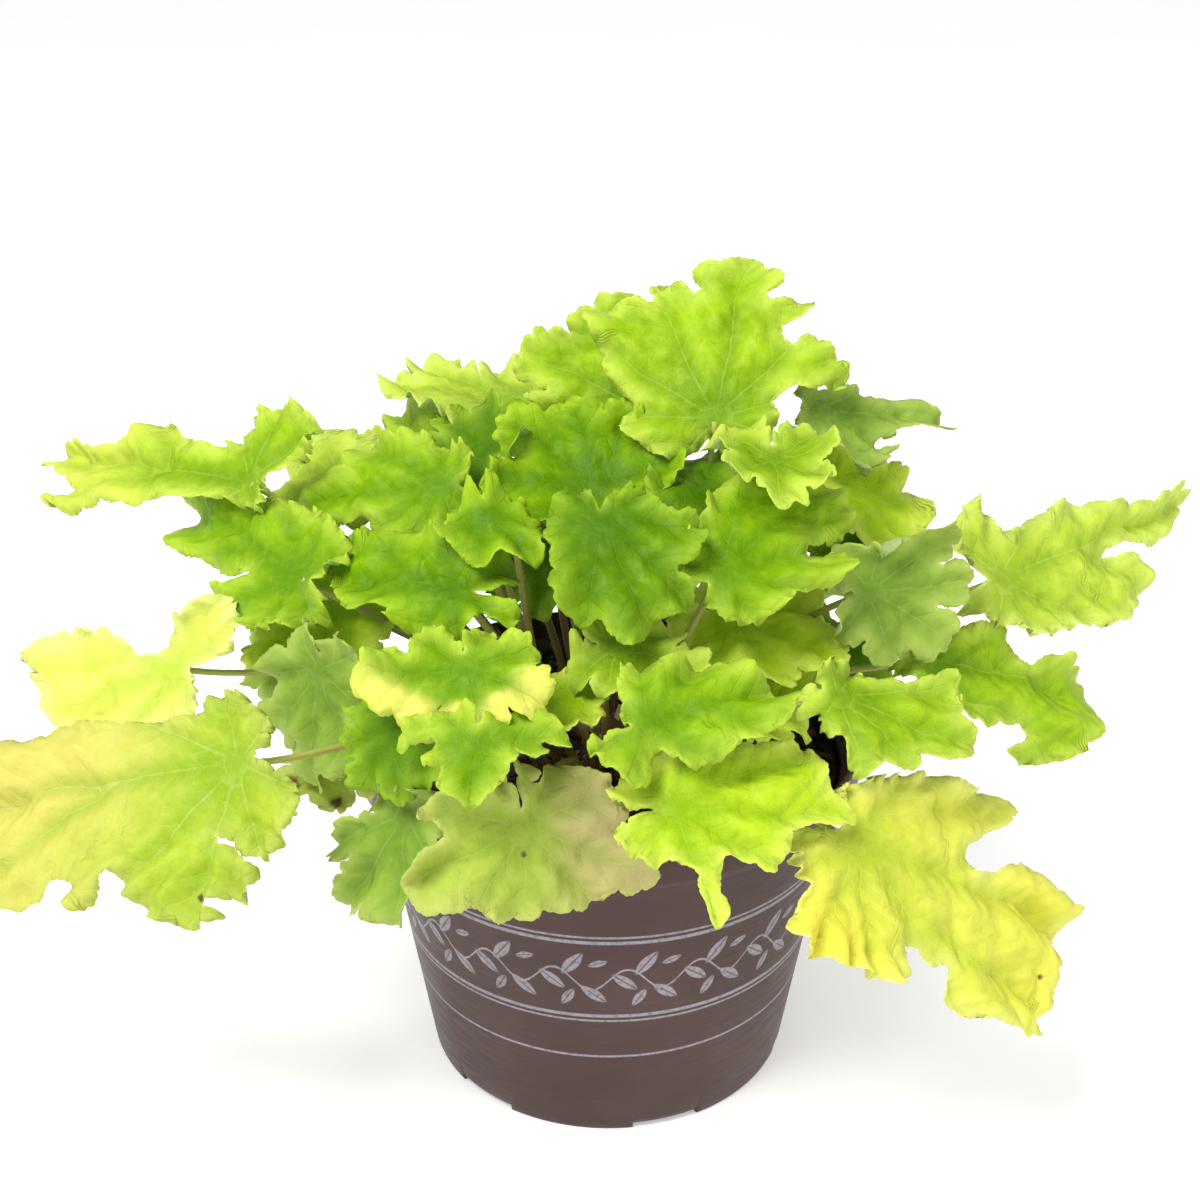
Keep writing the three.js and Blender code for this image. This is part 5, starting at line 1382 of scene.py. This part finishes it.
@dataclass(frozen=True)
class BarkFinish:
    """Potting mix of composted bark: damp, near black, with fresher red-brown chips and grey fibres."""

    # gap and shade: darker colours painted into the mix's hollows as shade.
    gap: str = "140F0E"
    shade: str = "0F0B0A"
    peat: str = "241B19"
    bark: str = "5A342B"
    fresh: str = "8A5A42"
    fibre: str = "7C6E60"

    def material(self) -> bpy.types.Material:
        """Makes the material: the field "lot" picks each chip's colour, and the mix between is dark."""
        material = new_material("bark_mix_damp")
        node = partial(add, material.node_tree)
        lot = node("Attribute", attribute_name="lot").outputs["Fac"]
        place = node("TexCoord").outputs["Object"]
        crumbs = node("TexNoise", {"Vector": place, "Scale": 1 / (2.2 * MM), "Detail": 6.0})
        streak = node("TexNoise", {"Vector": place, "Scale": 1 / (0.8 * MM), "Detail": 3.0})
        # Painted shade: the darker gap colour lies where the crumb relief is low, in the hollows.
        skin = node("Mix", {0: crumbs, 6: linear(self.gap), 7: linear(self.peat)}, **COLOUR)
        for low, high, code in ((0.3, 0.42, self.bark), (0.72, 0.78, self.fresh), (0.93, 0.95, self.fibre)):
            share = node("MapRange", {0: lot, 1: low, 2: high, 3: 0.0, 4: 0.85}, **SOFT)
            skin = node("Mix", {0: share, 6: skin, 7: linear(code)}, **COLOUR)
        # Painted shade: the shade colour darkens the mix where the fine streaks, and with them the relief,
        # are low.
        dark = node("MapRange", {0: streak, 1: 0.35, 2: 0.65, 3: 0.45, 4: 0.0})
        skin = node("Mix", {0: dark, 6: skin, 7: linear(self.shade)}, **COLOUR)
        height = node("Math", {0: crumbs, 1: streak}, **PLUS)
        bump = node("Bump", {"Strength": 0.8, "Distance": 0.8 * MM, "Height": height})
        shine = node("BsdfPrincipled", {"Base Color": skin, "Roughness": 0.85, "Normal": bump})
        node("OutputMaterial", {"Surface": shine})
        return material


@dataclass
class BarkMix:
    """Domed bark mix that fills the pot, with loose chips on it."""

    chips: int = 1500
    floor: float = 2.7

    # The dome, the gap to the pot's outer wall, and the mix's own edge under the band.
    TOP_RADIUS = 92.5
    EDGE_HEIGHT = 121.0
    MIDDLE_HEIGHT = 130.0
    GAP = 2.4
    EDGE_RADIUS = 87.4

    @classmethod
    def height(cls, distance: float | np.ndarray) -> float | np.ndarray:
        """Height of the mix at a distance from the middle: a shallow paraboloid."""
        share = np.minimum(distance / cls.TOP_RADIUS, 1.0)
        return cls.EDGE_HEIGHT + (cls.MIDDLE_HEIGHT - cls.EDGE_HEIGHT) * (1 - share * share)

    def mound(self) -> Surface:
        """The body of the mix: a cone's side under a dome that is roughened by crossed sines."""
        sides = 120
        pot = Pot()
        turn = 2 * np.pi * np.arange(sides) / sides
        rings = np.linspace(self.EDGE_RADIUS, 2, 34)
        x, y = rings[:, None] * np.cos(turn), rings[:, None] * np.sin(turn)
        rough = 0.0
        for scale, size, shift in ((4.1, 0.9, 0.3), (2.3, 0.6, 1.9), (1.3, 0.35, 4.1)):
            across = np.sin(x / scale + shift + np.cos(y / scale))
            rough = rough + size * across * np.sin(y / scale + 2 * shift)
        fade = smooth(0, 8, self.EDGE_RADIUS - rings)[:, None]
        top = np.stack([x, y, self.height(rings)[:, None] + rough * (0.3 + 0.7 * fade)], -1)
        levels = np.array([self.floor, 60.0, 100.0])[:, None]
        radius = pot.wall_radius(levels) - self.GAP
        wall = np.stack([radius * np.cos(turn), radius * np.sin(turn), levels + 0 * turn], -1)
        points = np.concatenate([wall, top]).reshape(-1, 3)
        points, faces = capped(points, sides, (0, 0, self.floor), (0, 0, self.MIDDLE_HEIGHT))
        return Surface(points, faces, np.zeros(len(faces)), points[:, :2].copy(),
                       {"lot": np.full(len(points), 0.12)})

    def loose_chips(self) -> Surface:
        """Bark chips: wedges of eight corners, each with its own size, turn and jitter."""
        lot = np.random.default_rng(7)
        n = self.chips
        distance = (self.EDGE_RADIUS - 5) * np.sqrt(lot.random(n))
        bearing = 2 * np.pi * lot.random(n)
        size = np.stack([lot.uniform(1.4, 4.6, n), lot.uniform(0.9, 2.2, n), lot.uniform(0.4, 1.0, n)], -1)
        corner = np.array([[i, j, k] for k in (-1, 1) for j in (-1, 1) for i in (-1, 1)], float)
        local = corner[None] * size[:, None] * (1 + 0.35 * lot.uniform(-1, 1, (n, 8, 3)))
        yaw, tip, lean = 2 * np.pi * lot.random(n), lot.normal(0, 0.4, n), lot.normal(0, 0.35, n)
        for a, b, turn in ((1, 2, tip), (0, 2, lean), (0, 1, yaw)):
            c, s = np.cos(turn)[:, None], np.sin(turn)[:, None]
            one, two = local[..., a].copy(), local[..., b].copy()
            local[..., a], local[..., b] = c * one - s * two, s * one + c * two
        level = self.height(distance) + lot.uniform(0.1, 1.1, n)
        centre = np.stack([distance * np.cos(bearing), distance * np.sin(bearing), level], -1)
        points = (local + centre[:, None]).reshape(-1, 3)
        box = np.array([[0, 2, 3, 1], [4, 5, 7, 6], [0, 1, 5, 4], [2, 6, 7, 3], [0, 4, 6, 2], [1, 3, 7, 5]])
        faces = (8 * np.arange(n)[:, None, None] + box[None]).reshape(-1, 4)
        return Surface(points, faces, np.zeros(len(faces)), points[:, :2].copy(),
                       {"lot": np.repeat(lot.random(n), 8)})

    def build(self, finish: BarkFinish) -> bpy.types.Object:
        """Makes the mix in place of its node."""
        whole = Surface.joined([self.mound(), self.loose_chips()])
        return whole.made("bark_mix", [finish.material()], ["soil"])


@dataclass(frozen=True)
class CrownFinish:
    """Woody crown: brown, papery leaf bases over old wood, with pinkish buds."""

    wood: tuple[str, str] = ("6B4A2E", "3E2A1C")
    paper: tuple[str, str] = ("9A7A4C", "C9B896")
    bud: tuple[str, str] = ("B4C43C", "8A9A34")

    def materials(self) -> list[bpy.types.Material]:
        """Makes the wood, the dry scales and the buds: name, two colours, grain's pitch and roughness."""
        made = []
        for name, (one, other), pitch, rough in (("crown_wood", self.wood, 3.0, 0.85),
                                                 ("dry_leaf_base", self.paper, 2.0, 0.7),
                                                 ("leaf_bud", self.bud, 2.5, 0.5)):
            material = new_material(name)
            node = partial(add, material.node_tree)
            place = node("TexCoord").outputs["Object"]
            noise = node("TexNoise", {"Vector": place, "Scale": 1 / (pitch * MM), "Detail": 5.0})
            skin = node("Mix", {0: noise, 6: linear(one), 7: linear(other)}, **COLOUR)
            bump = node("Bump", {"Strength": 0.6, "Distance": 0.6 * MM, "Height": noise})
            shine = node("BsdfPrincipled", {"Base Color": skin, "Roughness": rough, "Normal": bump})
            node("OutputMaterial", {"Surface": shine})
            made.append(material)
        return made


@dataclass
class Crown:
    """Woody crown at the middle: a knobbly stub in dry leaf bases, with buds and old thin stalks."""

    radius: float = 6.6
    sunk: float = 12.0
    rise: float = 9.0
    bases: int = 46
    old_stalks: int = 9
    buds: int = 5

    def stub(self) -> Surface:
        """The wood: a lathe profile whose radius swells with two crossed sines."""
        low = BarkMix.MIDDLE_HEIGHT - self.sunk
        levels = np.linspace(0, 1, 16)[:, None]
        sides = 28
        turn = 2 * np.pi * np.arange(sides) / sides
        radius = self.radius * (1 - 0.75 * smooth(0.78, 1.0, levels))
        radius = radius * (1 + 0.09 * np.sin(5 * turn + 9 * levels) * np.sin(14 * levels + turn))
        z = low + (self.sunk + self.rise) * levels + 0 * turn
        points = np.stack([radius * np.cos(turn), radius * np.sin(turn), z], -1).reshape(-1, 3)
        points, faces = capped(points, sides, (0, 0, low), (0, 0, low + self.sunk + self.rise + 0.2))
        return Surface(points, faces, np.zeros(len(faces)), points[:, :2].copy())

    def spikes(self, lot: np.random.Generator, count: int, skin: int, spread: tuple[float, float],
               length: tuple[float, float], width: float, tilt: float, sides: int = 6) -> list[Surface]:
        """Tapering tubes that stand round the crown and bend outwards.

        Args:
            lot: the random draws.
            count: how many.
            skin: material number.
            spread: least and most distance from the axis.
            length: least and most length.
            width: radius at the foot.
            tilt: how far the tip leans out, as a share of the length.
            sides: points in a ring.

        Returns:
            The tubes.
        """
        made = []
        t = np.linspace(0, 1, 7)[:, None]
        for _ in range(count):
            bearing, off = 2 * np.pi * lot.random(), lot.uniform(*spread)
            out = np.array([math.cos(bearing), math.sin(bearing), 0.0])
            foot = out * off + [0, 0, BarkMix.height(off) - 3]
            long = lot.uniform(*length)
            side = np.array([-out[1], out[0], 0]) * lot.normal(0, 0.25)
            line = foot + long * (t * [0, 0, 1] + tilt * t**2 * (out + side))
            radii = width * lot.uniform(0.75, 1.2) * (1 - 0.82 * t[:, 0] ** 1.5)
            made.append(tube(line, radii, sides, skin))
        return made

    def build(self, finish: CrownFinish) -> bpy.types.Object:
        """Makes the crown in place of its node."""
        lot = np.random.default_rng(21)
        parts = [self.stub()]
        parts += self.spikes(lot, self.bases, 1, (3.0, 10.0), (5.0, 12.0), 1.5, 0.35)
        parts += self.spikes(lot, self.buds, 2, (1.0, 5.0), (10.0, 16.0), 1.6, 0.2)
        parts += self.spikes(lot, self.old_stalks, 1, (12.0, 30.0), (24.0, 46.0), 0.75, 0.55, sides=5)
        for part in parts:
            part.fields.clear()
        return Surface.joined(parts).made("woody_crown", finish.materials(), ["crown"])


# ---------------------------------------------------------------- studio


@dataclass
class Studio:
    """Pale floor, soft daylight from all round, and the camera. Places are in millimetres."""

    camera_at: tuple[float, float, float] = (-3.2, -600.0, 476.0)
    camera_drop: float = 25.6
    lens: float = 54.0
    sensor: float = 36.0
    floor_size: float = 60000.0
    sky: float = 0.62
    horizon: float = 1.0
    target_height: float = 180.0

    # Lamps: name, place, width and watts.
    LAMPS = (("key", (-480, -560, 1250), 600, 18.0), ("fill", (900, -900, 500), 900, 3.5))

    def floor(self) -> None:
        """A seamless pale floor."""
        half = self.floor_size / 2
        mesh = bpy.data.meshes.new("floor")
        corners = [(-half, -half, 0), (half, -half, 0), (half, half, 0), (-half, half, 0)]
        mesh.from_pydata([tuple(c * MM for c in p) for p in corners], [], [(0, 1, 2, 3)])
        material = new_material("floor_white_paper")
        node = partial(add, material.node_tree)
        place = node("TexCoord").outputs["Object"]
        noise = node("TexNoise", {"Vector": place, "Scale": 1 / (300 * MM)})
        skin = node("Mix", {0: noise, 6: linear("FFFFFF"), 7: linear("FBFBFB")}, **COLOUR)
        shine = node("BsdfPrincipled", {"Base Color": skin, "Roughness": 0.9, "Specular IOR Level": 0.1,
                                        "Emission Color": skin, "Emission Strength": 0.3})
        node("OutputMaterial", {"Surface": shine})
        mesh.materials.append(material)
        floor = bpy.data.objects.new("floor", mesh)
        bpy.context.scene.collection.objects.link(floor)

    def light(self) -> None:
        """White surroundings, brighter low down, a soft key light high on the left and a weak fill."""
        world = bpy.data.worlds.new("studio_white")
        world.use_nodes = True
        ground = world.node_tree.nodes["Background"]
        ground.inputs["Color"].default_value = (1.0, 1.0, 1.0, 1.0)
        node = partial(add, world.node_tree)
        up = node("SeparateXYZ", {0: node("TexCoord").outputs["Generated"]}).outputs["Z"]
        glow = node("MapRange", {0: up, 1: 0.1, 2: 0.6, 3: self.horizon, 4: self.sky}, **SOFT)
        world.node_tree.links.new(glow.outputs["Result"], ground.inputs["Strength"])
        bpy.context.scene.world = world
        for name, at, size, watts in self.LAMPS:
            lamp = bpy.data.lights.new(name, "AREA")
            lamp.shape = "DISK"
            lamp.size = size * MM
            lamp.energy = watts
            holder = bpy.data.objects.new(name, lamp)
            holder.location = [c * MM for c in at]
            x, y, z = np.array([0, 0, self.target_height]) - np.array(at)
            holder.rotation_euler = (math.atan2(math.hypot(x, y), -z), 0, math.atan2(y, x) - math.pi / 2)
            bpy.context.scene.collection.objects.link(holder)

    def camera(self) -> None:
        """The camera, looking slightly down on the plant from the front."""
        lens = bpy.data.cameras.new("camera")
        lens.lens = self.lens
        lens.sensor_width = self.sensor
        lens.sensor_fit = "HORIZONTAL"
        lens.clip_start = 0.01
        holder = bpy.data.objects.new("camera", lens)
        holder.location = [c * MM for c in self.camera_at]
        holder.rotation_euler = ((90 - self.camera_drop) * DEG, 0, 0)
        bpy.context.scene.collection.objects.link(holder)
        bpy.context.scene.camera = holder

    def build(self) -> None:
        """Sets up floor, light, camera and a plain tone curve."""
        self.floor()
        self.light()
        self.camera()
        bpy.context.scene.view_settings.view_transform = "Standard"


def main() -> None:
    """Builds the pot, the mix, the crown, every leaf and the studio, and reports each piece."""
    logging.basicConfig(level=logging.INFO, format="%(name)s: %(message)s")
    Pot().build(PotFinish())
    BarkMix().build(BarkFinish())
    Crown().build(CrownFinish())
    skins = {tone: BladeSkin(tone.value) for tone in Tone}
    stalk, hair = StalkFinish().material(), HairFinish().material()
    for number, leaf in enumerate(LEAVES + back_leaves()):
        leaf.seed = number + 1
        leaf.build(skins, stalk, hair)
    Studio().build()
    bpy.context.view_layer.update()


if __name__ == "__main__":
    main()
